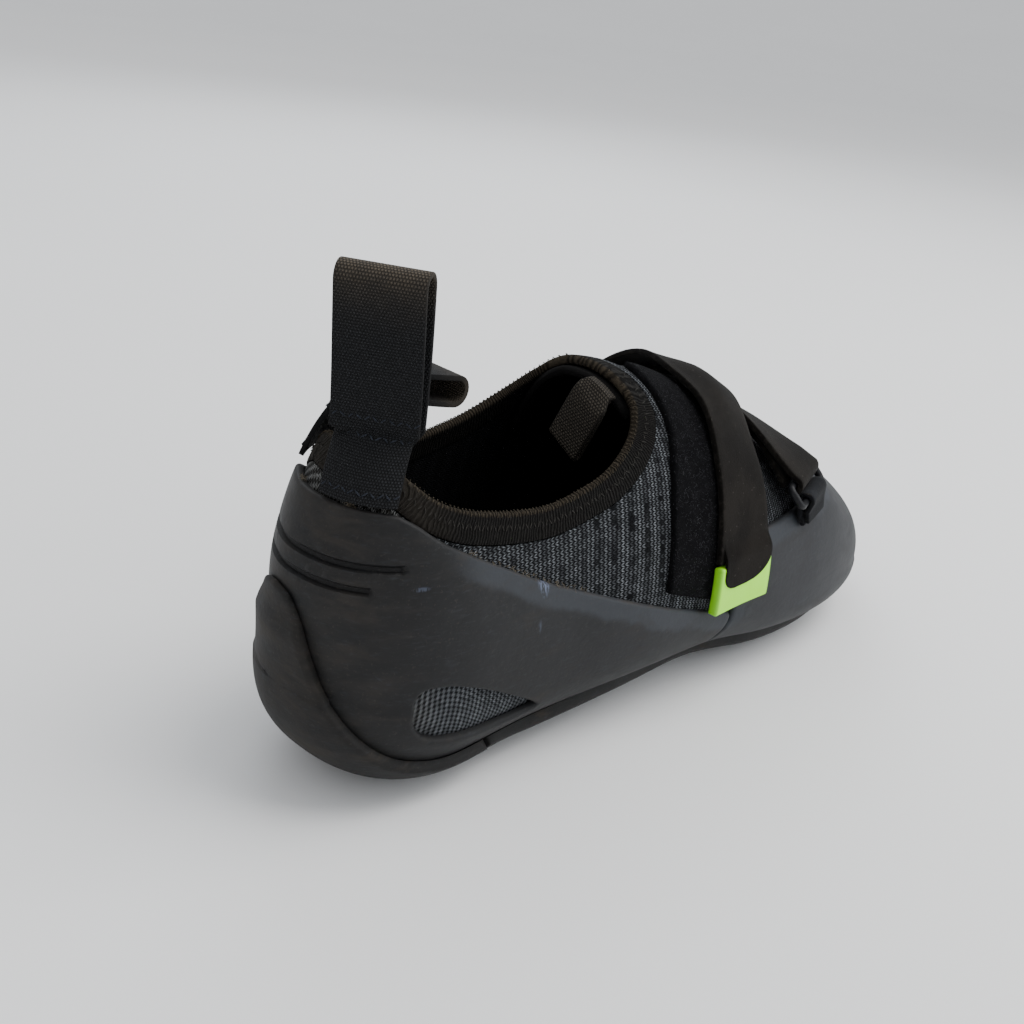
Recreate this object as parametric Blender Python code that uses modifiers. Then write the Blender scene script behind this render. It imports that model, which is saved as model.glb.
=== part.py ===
"""Right climbing shoe: knit sock upper, rubber rands, heel patch, outsole, and a folded closure strap.

Metres, +Z up. The toe points along +X, the outer side of the foot along -Y, and the floor is z = 0.
Every wall is an offset layer of one form, the outer face of the rubber rand, so that layers nest.
"""
import math

import bmesh
import bpy
import numpy as np
from mathutils import Matrix, Vector

# Form of the last, rubber rand included
LENGTH = 0.2431
BALL_WIDTH = 0.0908
ANKLE_HEIGHT = 0.0980
HEEL_RUN = 0.036
TOE_RUN = 0.066
END_BLUNTNESS = 2.3
HEEL_TUCK = 0.0029

# Walls
RAND_WALL = 0.0020
KNIT_WALL = 0.0018
BAND_WALL = 0.0026
SOLE_WALL = 0.0040
PATCH_WALL = 0.0026
INSOLE_WALL = 0.0025
INSOLE_INSET = 0.0120
TONGUE_WALL = 0.0026
PAD_WALL = 0.0017
STRAP_WALL = 0.0016
TIP_WALL = 0.0028
WEBBING_WALL = 0.0012
FIT_GAP = 0.0003

# Bands, webbing and hardware
BAND_HEIGHT = 0.0075
WEBBING_WIDTH = 0.0200
LOOP_RISE = 0.0395
STRAP_WIDTH = 0.0215
TONGUE_WIDTH = 0.0480
LOOP_BULGE = 0.0032
TAB_WIDTH = 0.0110
TAB_DROP = 0.0155
TAB_SEWN = 0.0026
TAB_SWELL = 1.1
TAB_SIDE = -0.0143
RING_WIRE = 0.0011
RING_SLACK = 0.0016
RING_CORNER = 0.0018
RING_DEPTH = 0.0062
HOLDER_WIDTH = 0.0170
HOLDER_DROP = 0.0060
LOOP_CLEARANCE = 0.0012
STRAP_STOP = 0.8
GROOVE_WIDTH = 0.0016
GROOVE_DEPTH = 0.0010
FEATHER_INSET = 0.0150
FEATHER_TOP = 0.0220
PAD_SIDE = -0.0060
PAD_STAND_OFF = 0.0006
WINDOW_SIDE = -0.0120

# Fineness of the layers
CAP_TURNS = (14.0, 29.0, 45.0, 61.0, 76.0)
MIDDLE_RINGS = 10
COLUMNS = 24
STRAP_STEPS = 5

# Sections along the foot. along: share of LENGTH. floor, waist, crown: heights of the underside, of
# the widest line and of the top, shares of ANKLE_HEIGHT. outer, inner: half widths to the outer and
# inner side of the foot, and sway: shift of the middle towards the inner side, shares of BALL_WIDTH.
# under, over: how square the section is below and above its widest line.
SECTION_COLUMNS = ("along", "floor", "waist", "crown", "outer", "inner", "sway", "under", "over")
SECTIONS = (
    (0.000, 0.052, 0.316, 0.974, 0.325, 0.262, -0.052, 2.40, 2.20),
    (0.113, 0.023, 0.293, 1.000, 0.348, 0.325, -0.023, 2.50, 2.20),
    (0.236, 0.050, 0.302, 1.000, 0.372, 0.344, -0.015, 2.60, 2.20),
    (0.381, 0.080, 0.317, 0.970, 0.412, 0.351, -0.031, 2.80, 2.20),
    (0.504, 0.084, 0.296, 0.878, 0.439, 0.391, -0.023, 3.00, 2.20),
    (0.627, 0.058, 0.250, 0.720, 0.483, 0.446, -0.010, 3.15, 2.25),
    (0.750, 0.038, 0.215, 0.590, 0.504, 0.496, 0.019, 2.85, 2.30),
    (0.874, 0.040, 0.189, 0.455, 0.487, 0.468, 0.069, 2.75, 2.30),
    (1.000, 0.066, 0.174, 0.333, 0.417, 0.374, 0.155, 2.80, 2.30),
)
TUCK_SPAN = (0.340, 0.610)

# Reach of the cutters
FAR = 3 * ANKLE_HEIGHT
HALF_SPAN = BALL_WIDTH
MARGIN = 0.2 * ANKLE_HEIGHT

# Side-view lines, as rows of (along, height): shares of LENGTH and of ANKLE_HEIGHT
RIM_LINE = ((-0.054, 0.885), (0.046, 0.885), (0.071, 0.837), (0.092, 0.792), (0.121, 0.759), (0.158, 0.735),
            (0.195, 0.720), (0.232, 0.716), (0.273, 0.735), (0.310, 0.765), (0.347, 0.821), (0.372, 0.878),
            (0.382, 0.930), (0.384, 1.100))
RAND_LINE = ((-0.054, 0.770), (0.040, 0.767), (0.063, 0.750), (0.092, 0.697), (0.152, 0.617), (0.227, 0.523),
             (0.343, 0.406), (0.429, 0.330), (0.516, 0.262))
SEAM_LINE = ((0.516, 0.262), (0.515, 0.235), (0.509, 0.209), (0.503, 0.160), (0.501, -0.080))
TOE_RUBBER_LINE = ((0.518, 0.300), (0.535, 0.410), (0.555, 0.480), (0.592, 0.500), (0.652, 0.510),
                   (0.722, 0.515), (0.773, 0.535), (0.801, 0.580), (0.813, 0.700))
WINDOW_LINE = ((0.064, 0.310), (0.072, 0.348), (0.106, 0.342), (0.155, 0.290), (0.217, 0.200), (0.221, 0.176),
               (0.181, 0.172), (0.116, 0.188), (0.080, 0.212), (0.065, 0.258))
PAD_LINE = ((0.390, 0.405), (0.395, 0.660), (0.413, 0.815), (0.443, 0.960), (0.572, 0.960), (0.543, 0.620),
            (0.527, 0.500), (0.508, 0.300))
INSOLE_SPAN = (0.070, 0.945)
SOLE_LINE = ((0.177, 0.105), (0.300, 0.122), (0.443, 0.120), (0.602, 0.098), (0.761, 0.080), (0.881, 0.086),
             (0.960, 0.100), (1.060, 0.125))

# Heel patch seen from behind, as rows of (side, height): shares of BALL_WIDTH and of ANKLE_HEIGHT
PATCH_LINE = ((0.000, 0.553), (0.055, 0.540), (0.098, 0.490), (0.125, 0.420), (0.160, 0.345), (0.215, 0.275),
              (0.262, 0.205), (0.300, 0.140), (0.350, 0.110), (0.600, 0.105))
PATCH_REACH = 0.175
PATCH_FEATHER = 0.0100
TONGUE_REAR = 0.375
TONGUE_FRONT = 0.640

# Grooves round the heel: height, share of ANKLE_HEIGHT, and where they end, share of LENGTH
GROOVES = ((0.650, 0.050), (0.600, 0.024))

# Runs of the closure strap, as rows of (angle, crown, yaw, lift). angle: degrees from straight up about
# the middle of the foot, positive to the inner side. crown: where the run's plane crosses the top, share
# of LENGTH. yaw: the plane's turn in degrees. lift: layers that the run clears, as strap thicknesses.
STRAP_RUNS = {
    "strap_front": ((64.0, 0.737, -14.0, 0.0), (20.0, 0.709, -10.0, 0.0), (-30.0, 0.640, 9.0, 0.0),
                    (-68.0, 0.604, 19.0, 0.0)),
    "strap_middle": ((-68.0, 0.604, 19.0, 2.75), (-48.0, 0.604, 19.0, 1.35), (-4.0, 0.604, 19.0, 1.30),
                     (27.0, 0.604, 19.0, 0.15), (68.0, 0.604, 19.0, 0.0)),
    "strap_rear": ((68.0, 0.604, 19.0, 2.75), (46.0, 0.592, 12.0, 1.60), (0.0, 0.553, -8.0, 2.70),
                   (-22.0, 0.546, -10.0, 2.65), (-48.0, 0.543, -11.0, 0.20), (-80.0, 0.542, -12.0, 0.0),
                   (-111.0, 0.542, -12.0, 0.0)),
}
TIP_SHARE = 0.090

# Webbing rings: which side they are on, the angle of the bar, and the plane of the run that folds there
RINGS_AT = {"lateral": (-68.0, 0.604, 19.0), "medial": (68.0, 0.604, 19.0)}

# Pull loops: side of the heel, turn from straight back in degrees, shift to the inner side, share of
# LOOP_RISE, bend of the loop in degrees and where it heads when bent, as forwards and inwards shares
PULL_LOOPS = {
    "lateral": (-1.0, 31.0, 0.0056, 1.0, -3.0, (1.0, 0.0)),
    "medial": (1.0, 60.0, 0.0060, 0.77, 104.0, (1.0, 0.05)),
}
LOOP_HEIGHTS = (0.775, 0.835, 0.900)

# Tongue tab: the directions across it and down its length
TAB_ACROSS = (0.0, -0.86, -0.50)
TAB_DOWN = (-0.24, 0.30, -0.91)

MATERIALS = {
    "knit": ((0.060, 0.063, 0.068), 0.90, 0.0),
    "band": ((0.022, 0.019, 0.017), 0.92, 0.0),
    "rand_rubber": ((0.030, 0.031, 0.034), 0.62, 0.0),
    "sole_rubber": ((0.024, 0.023, 0.023), 0.70, 0.0),
    "lining": ((0.018, 0.017, 0.017), 0.95, 0.0),
    "webbing": ((0.017, 0.017, 0.018), 0.80, 0.0),
    "microfibre": ((0.025, 0.021, 0.018), 0.93, 0.0),
    "hook_and_loop": ((0.012, 0.012, 0.013), 0.98, 0.0),
    "lime_plastic": ((0.500, 0.850, 0.240), 0.45, 0.0),
    "ring_plastic": ((0.020, 0.022, 0.026), 0.35, 0.0),
}


def through(rows, steps):
    """Points on a smooth line through the rows, which may be a line or have many columns."""
    rows = np.asarray(rows, float)
    slopes = np.gradient(rows, axis=0)
    points = [rows[0]]
    for here in range(len(rows) - 1):
        for step in range(1, steps + 1):
            t = step / steps
            points.append((2 * t ** 3 - 3 * t ** 2 + 1) * rows[here] + (t ** 3 - 2 * t ** 2 + t) * slopes[here]
                          + (3 * t ** 2 - 2 * t ** 3) * rows[here + 1] + (t ** 3 - t ** 2) * slopes[here + 1])
    return np.array(points)


def section(along):
    """The section table at a share of the length, in metres where a column is a length."""
    fine = through(SECTIONS, 12)
    at = {name: np.interp(along, fine[:, 0], fine[:, k]) for k, name in enumerate(SECTION_COLUMNS)}
    for name in ("floor", "waist", "crown"):
        at[name] = at[name] * ANKLE_HEIGHT
    for name in ("outer", "inner", "sway"):
        at[name] = at[name] * BALL_WIDTH
    return at


def field(points):
    """Below zero inside the form, zero on it."""
    x, y, z = points[..., 0], points[..., 1], points[..., 2]
    at = section(x / LENGTH)
    side = y - at["sway"]
    width = np.where(side < 0, at["outer"], at["inner"])
    above = z > at["waist"]
    height = np.where(above, at["crown"] - at["waist"], at["waist"] - at["floor"])
    square = np.where(above, at["over"], at["under"])
    ring = (np.abs(side) / width) ** square + (np.abs(z - at["waist"]) / height) ** square
    rise = np.clip((z / ANKLE_HEIGHT - TUCK_SPAN[0]) / (TUCK_SPAN[1] - TUCK_SPAN[0]), 0, 1)
    tuck = HEEL_TUCK * (3 * rise ** 2 - 2 * rise ** 3)
    heel = np.clip((HEEL_RUN - x - tuck) / HEEL_RUN, 0, None) ** END_BLUNTNESS
    toe = np.clip((x - LENGTH + TOE_RUN) / TOE_RUN, 0, None) ** END_BLUNTNESS
    return ring + heel + toe - 1


def cast(starts, directions, reach=0.16):
    """Where rays from inside meet the form."""
    starts, directions = np.broadcast_arrays(np.asarray(starts, float), np.asarray(directions, float))
    near = np.zeros(starts.shape[:-1])
    far = np.full_like(near, reach)
    for _ in range(34):
        middle = (near + far) / 2
        inside = field(starts + directions * middle[..., None]) < 0
        near = np.where(inside, middle, near)
        far = np.where(inside, far, middle)
    return starts + directions * near[..., None]


def normals(points):
    """Outward directions of the form."""
    step = 1e-5
    slope = [field(points + step * axis) - field(points - step * axis) for axis in np.eye(3)]
    slope = np.stack(slope, -1)
    return slope / np.linalg.norm(slope, axis=-1, keepdims=True)


def at_offset(points, lift):
    """Points of the form moved out along its normals."""
    return points + normals(points) * np.asarray(lift)[..., None]


def side_line(rows, steps=3):
    """A side-view line in metres."""
    return through(rows, steps) * (LENGTH, ANKLE_HEIGHT)


def form_rings():
    """The form as rings of points: fans round heel and toe, planes across the foot between them.

    The first and the last row are the rearmost and the foremost point, once for each column.
    """
    rear, front = HEEL_RUN / LENGTH, 1 - TOE_RUN / LENGTH
    turns = np.radians((0.0, *CAP_TURNS))
    middle = np.linspace(rear, front, MIDDLE_RINGS)
    along = np.concatenate([np.full(turns.size, rear), middle, np.full(turns.size, front)])
    turn = np.concatenate([turns, np.full(MIDDLE_RINGS, math.pi / 2), turns[::-1]])
    heading = np.concatenate([np.zeros(turns.size + MIDDLE_RINGS), np.ones(turns.size)])
    at, tip = section(along), section(heading)
    height = at["waist"] + 0.15 * (at["crown"] - at["waist"])
    starts = np.stack([along * LENGTH, at["sway"], height], -1)
    axis = np.stack([heading * LENGTH, tip["sway"], tip["waist"]], -1) - starts
    angle = np.linspace(0, 2 * math.pi, COLUMNS, endpoint=False)
    wide = np.sin(angle)[None, :] * at["outer"][:, None]
    tall = -np.cos(angle)[None, :] * (0.5 * (at["crown"] - at["floor"]))[:, None]
    across = np.stack([0 * wide, wide, tall], -1)
    directions = np.cos(turn)[:, None, None] * axis[:, None, :] + np.sin(turn)[:, None, None] * across
    directions /= np.linalg.norm(directions, axis=-1, keepdims=True)
    return cast(starts[:, None, :], directions)


COLLECTIONS = {}


def collection(name):
    """A collection of the scene, made once."""
    if name not in COLLECTIONS:
        COLLECTIONS[name] = bpy.data.collections.new(name)
        bpy.context.scene.collection.children.link(COLLECTIONS[name])
    return COLLECTIONS[name]


def place(name, shape, material=None):
    """An object from a bmesh: a part with its material, or a cutter."""
    mesh = bpy.data.meshes.new(name)
    shape.to_mesh(mesh)
    shape.free()
    thing = bpy.data.objects.new(name, mesh)
    if material:
        collection("climbing_shoe").objects.link(thing)
        mesh.materials.append(bpy.data.materials[material])
    else:
        collection("cutters").objects.link(thing)
        thing.hide_render = True
        thing.display_type = "WIRE"
    return thing


def apply_modifiers(thing):
    """Bakes an object's modifiers into its mesh."""
    graph = bpy.context.evaluated_depsgraph_get()
    baked = bpy.data.meshes.new_from_object(thing.evaluated_get(graph))
    old = thing.data
    thing.modifiers.clear()
    thing.data = baked
    bpy.data.meshes.remove(old)


def thicken(thing, wall, side):
    """Gives an open surface its wall, inwards at side -1, outwards at 1 and both ways at 0."""
    solid = thing.modifiers.new("wall", "SOLIDIFY")
    solid.thickness = wall
    solid.offset = side
    solid.use_even_offset = True
    apply_modifiers(thing)


def layer(name, lift, wall, material=None, thinner=None):
    """A closed layer all round the form, its outer face lift above it, its wall inwards.

    thinner gives, for points and normals of the form, the share of the wall that is left there.
    """
    points = form_rings()
    out = normals(points)
    share = thinner(points, out) if thinner else np.ones(points.shape[:-1])
    shape = bmesh.new()
    for height in (lift - wall + wall * share, np.full_like(share, lift - wall)):
        moved = points + out * height[..., None]
        grid = [[shape.verts.new(point) for point in ring] for ring in moved[1:-1]]
        heel, toe = shape.verts.new(moved[0, 0]), shape.verts.new(moved[-1, 0])
        faces = []
        for column in range(COLUMNS):
            beside = (column + 1) % COLUMNS
            for here, ahead in zip(grid, grid[1:]):
                faces.append(shape.faces.new((here[column], here[beside], ahead[beside])))
                faces.append(shape.faces.new((here[column], ahead[beside], ahead[column])))
            faces.append(shape.faces.new((heel, grid[0][beside], grid[0][column])))
            faces.append(shape.faces.new((toe, grid[-1][column], grid[-1][beside])))
    shape.faces.ensure_lookup_table()
    shape.normal_update()
    if shape.faces[0].normal.dot(Vector(out[1, 0])) < 0:
        bmesh.ops.reverse_faces(shape, faces=shape.faces)
    bmesh.ops.reverse_faces(shape, faces=faces)
    return place(name, shape, material)


def prism(name, outline, axis, low, high):
    """A cutter: an outline in the plane across an axis, drawn out from low to high along it."""
    spots = {"Y": lambda a, b: (a, low, b), "X": lambda a, b: (low, a, b), "Z": lambda a, b: (a, b, low)}[axis]
    along = Vector([high - low if axis == name_of else 0.0 for name_of in "XYZ"])
    shape = bmesh.new()
    face = shape.faces.new([shape.verts.new(spots(*point)) for point in outline])
    drawn = bmesh.ops.extrude_face_region(shape, geom=[face])
    moved = [item for item in drawn["geom"] if isinstance(item, bmesh.types.BMVert)]
    bmesh.ops.translate(shape, verts=moved, vec=along)
    bmesh.ops.recalc_face_normals(shape, faces=shape.faces)
    return place(name, shape)


def cut(thing, operation, cutter):
    """Applies one exact Boolean."""
    boolean = thing.modifiers.new("cut", "BOOLEAN")
    boolean.operation = operation
    boolean.object = cutter
    boolean.solver = "EXACT"
    apply_modifiers(thing)


def above(name, line, lift=0.0, low=-HALF_SPAN, high=HALF_SPAN):
    """A cutter for all that lies above a side-view line, moved up by lift."""
    line = [(x, z + lift) for x, z in line]
    outline = line + [(line[-1][0], FAR), (line[0][0], FAR)]
    return prism(name, outline, "Y", low, high)


def band_line():
    """The rim line moved down and forwards by the band's height."""
    rim = side_line(RIM_LINE)
    slope = np.gradient(rim, axis=0)
    slope /= np.linalg.norm(slope, axis=1)[:, None]
    moved = rim + np.stack([slope[:, 1], -slope[:, 0]], -1) * BAND_HEIGHT
    keep = [moved[0]]
    for point in moved[1:]:
        if point[0] > keep[-1][0] + 0.0004 or point[1] > keep[-1][1] + 0.0015:
            keep.append(point)
    return [tuple(point) for point in keep]


def footprint(inset, start, end, steps=14):
    """A plan outline inside the form, from start to end, shares of the length."""
    along = np.linspace(start, end, steps)
    round_off = np.sqrt(np.clip(1 - (2 * (along - start) / (end - start) - 1) ** 6, 0, None))
    at = section(along)
    outer = [(x * LENGTH, s - max(w - inset, 0.004) * r - 0.0005)
             for x, s, w, r in zip(along, at["sway"], at["outer"], round_off)]
    inner = [(x * LENGTH, s + max(w - inset, 0.004) * r + 0.0005)
             for x, s, w, r in zip(along, at["sway"], at["inner"], round_off)]
    return outer + inner[::-1]


def build_upper():
    """The knit sock: open at the collar and underneath, where board and rubber close it.

    Returns the lift that clears the collar band on its inner side.
    """
    knit = -(RAND_WALL + FIT_GAP)
    upper = layer("upper", knit, KNIT_WALL, "knit")
    cut(upper, "DIFFERENCE", above("collar_cut", band_line(), -FIT_GAP / 2))
    cut(upper, "DIFFERENCE", prism("feather_cut", footprint(FEATHER_INSET, 0.09, 0.90), "Z", -MARGIN, FEATHER_TOP))

    band = layer("collar_band", knit + (BAND_WALL - KNIT_WALL) / 2, BAND_WALL, "band")
    cut(band, "INTERSECT", above("band_keep", band_line(), FIT_GAP / 2))
    cut(band, "DIFFERENCE", above("rim_cut", side_line(RIM_LINE)))

    rows = []
    for along in np.linspace(*INSOLE_SPAN, 12):
        at = section(along)
        share = math.sqrt(1 - (2 * (along - INSOLE_SPAN[0]) / (INSOLE_SPAN[1] - INSOLE_SPAN[0]) - 1) ** 6)
        narrow = max(share, 0.35)
        sides = np.linspace(-(at["outer"] - INSOLE_INSET) * narrow, (at["inner"] - INSOLE_INSET) * narrow, 7)
        starts = np.array([(along * LENGTH, at["sway"] + side, at["waist"]) for side in sides])
        rows.append(level(cast(starts, (0.0, 0.0, -1.0)), knit - KNIT_WALL - 2 * FIT_GAP - INSOLE_WALL / 2))
    strip("insole", rows, INSOLE_WALL, "lining")
    return knit + (BAND_WALL - KNIT_WALL) / 2 - BAND_WALL - FIT_GAP


def build_rubber():
    """Heel rand with its window and grooves, toe rubber, outsole and heel patch."""
    rand_line = [tuple(point) for point in side_line(RAND_LINE)]
    seam = [tuple(point) for point in side_line(SEAM_LINE)]
    rear = rand_line + seam[1:] + [(-MARGIN, seam[-1][1])]
    heel = layer("heel_rand", 0.0, RAND_WALL, "rand_rubber")
    cut(heel, "INTERSECT", prism("heel_rand_keep", rear, "Y", -HALF_SPAN, HALF_SPAN))
    window = [tuple(point) for point in side_line(WINDOW_LINE + WINDOW_LINE[:1], 2)][:-1]
    cut(heel, "DIFFERENCE", prism("window_cut", window, "Y", -HALF_SPAN, WINDOW_SIDE))
    for number, (height, end) in enumerate(GROOVES, 1):
        groove = layer("groove_%d" % number, GROOVE_DEPTH, 2 * GROOVE_DEPTH)
        middle, reach, half = height * ANKLE_HEIGHT, end * LENGTH, GROOVE_WIDTH / 2
        arc = [(reach + half * math.cos(turn), middle + half * math.sin(turn))
               for turn in np.linspace(-math.pi / 2, math.pi / 2, 5)]
        slot = [(-MARGIN, middle - half)] + arc + [(-MARGIN, middle + half)]
        cut(groove, "INTERSECT", prism("slot_%d" % number, slot, "Y", -HALF_SPAN, HALF_SPAN))
        cut(heel, "DIFFERENCE", groove)

    toe_edge = [tuple(point) for point in side_line(TOE_RUBBER_LINE)]
    gap = FIT_GAP
    front = [(x + gap, z) for x, z in seam[::-1]] + [(x + gap, z) for x, z in toe_edge]
    front += [(LENGTH + MARGIN, toe_edge[-1][1]), (LENGTH + MARGIN, seam[-1][1])]
    toe = layer("toe_rubber", 0.0, RAND_WALL, "rand_rubber")
    cut(toe, "INTERSECT", prism("toe_keep", front, "Y", -HALF_SPAN, HALF_SPAN))

    sole = layer("outsole", FIT_GAP + SOLE_WALL, SOLE_WALL, "sole_rubber",
                 lambda points, out: np.clip(-out[..., 2], 0.15, 1.0))
    edge = [tuple(point) for point in side_line(SOLE_LINE)]
    cut(sole, "INTERSECT", prism("sole_keep", edge + [(edge[-1][0], 0.0), (edge[0][0], 0.0)], "Y",
                                 -HALF_SPAN, HALF_SPAN))

    bell = through(PATCH_LINE, 3) * (BALL_WIDTH, ANKLE_HEIGHT)
    top = bell[0][1]
    patch = layer("heel_patch", FIT_GAP + PATCH_WALL, PATCH_WALL, "sole_rubber",
                  lambda points, out: np.clip((top - points[..., 2]) / PATCH_FEATHER, 0.45, 1.0))
    outline = [(s, z) for s, z in bell] + [(bell[-1][0], 0.0), (-bell[-1][0], 0.0)]
    outline += [(-s, z) for s, z in bell[:0:-1]]
    cut(patch, "INTERSECT", prism("patch_keep", outline, "X", -MARGIN, PATCH_REACH * LENGTH))


def build_pad_and_tongue(inside):
    """The fuzzy half of the closure on the outer side, and the tongue inside the throat."""
    pad = layer("hook_and_loop_pad", -RAND_WALL + PAD_WALL, PAD_WALL, "hook_and_loop")
    outline = [tuple(point) for point in side_line(PAD_LINE, 1)]
    cut(pad, "INTERSECT", prism("pad_keep", outline, "Y", -HALF_SPAN, PAD_SIDE))
    rand_line = [tuple(point) for point in side_line(RAND_LINE)]
    cut(pad, "INTERSECT", above("pad_foot", rand_line + [(LENGTH, rand_line[-1][1])], PAD_STAND_OFF))

    tongue = layer("tongue", inside, TONGUE_WALL, "lining")
    rear, front = TONGUE_REAR * LENGTH, TONGUE_FRONT * LENGTH
    half = TONGUE_WIDTH / 2
    turns = np.linspace(-math.pi / 2, math.pi / 2, 9)
    nose = [(front - half * (1 - math.cos(turn)), half * math.sin(turn)) for turn in turns]
    cut(tongue, "INTERSECT", prism("tongue_keep", [(rear, -half)] + nose + [(rear, half)], "Z", ANKLE_HEIGHT / 2, FAR))


def strip(name, rows, wall, material, side=0):
    """A solid strap from a grid of points, its wall half to each side or outwards."""
    shape = bmesh.new()
    grid = [[shape.verts.new(point) for point in row] for row in rows]
    for here, ahead in zip(grid, grid[1:]):
        for column in range(len(here) - 1):
            shape.faces.new((here[column], ahead[column], ahead[column + 1]))
            shape.faces.new((here[column], ahead[column + 1], here[column + 1]))
    thing = place(name, shape, material)
    thicken(thing, wall, side)
    return thing


def across_foot(angle, crown, yaw, width, columns=4):
    """A row of points of the form in a plane across the foot, and the row's own direction."""
    at = section(np.array(crown))
    centre = np.array((crown * LENGTH, at["sway"], at["waist"] + 0.35 * (at["crown"] - at["waist"])))
    turn = math.radians(yaw)
    across = np.array((math.cos(turn), math.sin(turn), 0.0))
    inward = np.array((-math.sin(turn), math.cos(turn), 0.0))
    heading = math.sin(math.radians(angle)) * inward + math.cos(math.radians(angle)) * np.array((0, 0, 1.0))
    starts = centre + np.linspace(-width / 2, width / 2, columns)[:, None] * across
    return cast(starts, heading), across


def level(points, lift):
    """A row lifted off the form."""
    return at_offset(points, np.full(len(points), lift))


def bar_frame(angle, crown, yaw, width, lift, columns=4):
    """Points along a ring's bar, the direction off the foot and the direction down its side."""
    points, _ = across_foot(angle, crown, yaw, STRAP_WIDTH, 3)
    across = (points[2] - points[0]) / np.linalg.norm(points[2] - points[0])
    off = normals(points[1])
    off = off - across * np.dot(off, across)
    off /= np.linalg.norm(off)
    down = np.cross(across, off) * math.copysign(1.0, angle) * -1.0
    spread = np.linspace(-width / 2, width / 2, columns)[:, None] * across
    return points[1] + off * lift + spread, off, down


def build_straps():
    """The closure strap's three runs, folded round the rings, and the moulded tip."""
    inner_turn = RING_WIRE + FIT_GAP
    bar_lift = FIT_GAP + STRAP_WALL + inner_turn
    for name, table in STRAP_RUNS.items():
        fine = through(table, STRAP_STEPS)
        last = len(fine) - 1
        if name == "strap_rear":
            last = round((1 - TIP_SHARE) * last)
        rows = []
        for number, (angle, crown, yaw, lift) in enumerate(fine[:last + 1]):
            if number == len(fine) - 1 and name != "strap_rear":
                angle -= math.copysign(STRAP_STOP, angle)
            points, _ = across_foot(angle, crown, yaw, STRAP_WIDTH)
            rows.append(level(points, FIT_GAP + max(lift, 0.0) * STRAP_WALL))
        if name != "strap_front":
            angle, crown, yaw, _ = table[0]
            bar, off, down = bar_frame(angle, crown, yaw, STRAP_WIDTH, bar_lift)
            bend = [bar + inner_turn * (math.cos(turn) * off + math.sin(turn) * down)
                    for turn in np.linspace(math.pi, 0, 7)]
            rows = bend + rows[2:]
        here, ahead = rows[len(rows) // 2], rows[len(rows) // 2 + 1]
        if np.dot(np.cross(ahead[0] - here[0], here[1] - here[0]), normals(here[0])) < 0:
            rows = rows[::-1]
        strip(name, rows, STRAP_WALL, "microfibre", 1)
        if name == "strap_rear":
            rows = []
            for angle, crown, yaw, _ in fine[last:]:
                points, _ = across_foot(angle - 0.5, crown, yaw, STRAP_WIDTH + 0.001)
                rows.append(level(points, FIT_GAP))
            strip("strap_tip", rows, TIP_WALL, "lime_plastic", 1)


def build_rings():
    """The two rings that the strap folds round, and the webbing that holds them."""
    lift = FIT_GAP + STRAP_WALL + RING_WIRE + FIT_GAP
    for name, (angle, crown, yaw) in RINGS_AT.items():
        width = STRAP_WIDTH + 2 * (RING_WIRE + RING_SLACK)
        bar, off, down = bar_frame(angle, crown, yaw, width, lift, 3)
        across = (bar[2] - bar[0]) / width
        corner = RING_CORNER
        path = []
        for number, (sideways, lower) in enumerate(((1, 0), (1, 1), (-1, 1), (-1, 0))):
            middle = bar[1] + sideways * (width / 2 - corner) * across
            middle = middle + down * (RING_DEPTH - corner if lower else corner)
            for turn in np.linspace(-math.pi / 2, 0, 4) + number * math.pi / 2:
                path.append(middle + corner * (math.cos(turn) * across + math.sin(turn) * down))
        curve = bpy.data.curves.new("ring_" + name, "CURVE")
        curve.dimensions = "3D"
        curve.bevel_depth = RING_WIRE
        curve.bevel_resolution = 1
        spline = curve.splines.new("POLY")
        spline.points.add(len(path) - 1)
        spline.use_cyclic_u = True
        for point, spot in zip(spline.points, path):
            point.co = (*spot, 1.0)
        drawn = bpy.data.objects.new("ring_path_" + name, curve)
        bpy.context.scene.collection.objects.link(drawn)
        graph = bpy.context.evaluated_depsgraph_get()
        mesh = bpy.data.meshes.new_from_object(drawn.evaluated_get(graph))
        bpy.data.objects.remove(drawn)
        shape = bmesh.new()
        shape.from_mesh(mesh)
        bmesh.ops.remove_doubles(shape, verts=shape.verts, dist=1e-6)
        bmesh.ops.recalc_face_normals(shape, faces=shape.faces)
        place("ring_" + name, shape, "ring_plastic")

        turn = RING_WIRE + FIT_GAP + WEBBING_WALL / 2
        lower = bar + down * RING_DEPTH
        fit = HOLDER_WIDTH / width
        middle = lower[1]
        hug = [middle + (lower - middle) * fit + turn * (math.cos(bend) * off - math.sin(bend) * down)
               for bend in np.linspace(-0.7, math.pi, 7)]
        front, back = [], []
        for share in (0.5, 1.0):
            slim = 1 - 0.3 * share
            spot = middle + (lower - middle) * fit * slim + down * HOLDER_DROP * share
            ground = at_offset(cast(spot - off * 0.03, off), np.full(3, FIT_GAP + WEBBING_WALL / 2))
            stand = 2 * turn * (1 - share) + (WEBBING_WALL + FIT_GAP) * share
            back.append(ground)
            front.append(ground + off * stand)
        strip("ring_holder_" + name, front[::-1] + hug + back, WEBBING_WALL, "webbing")


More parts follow.
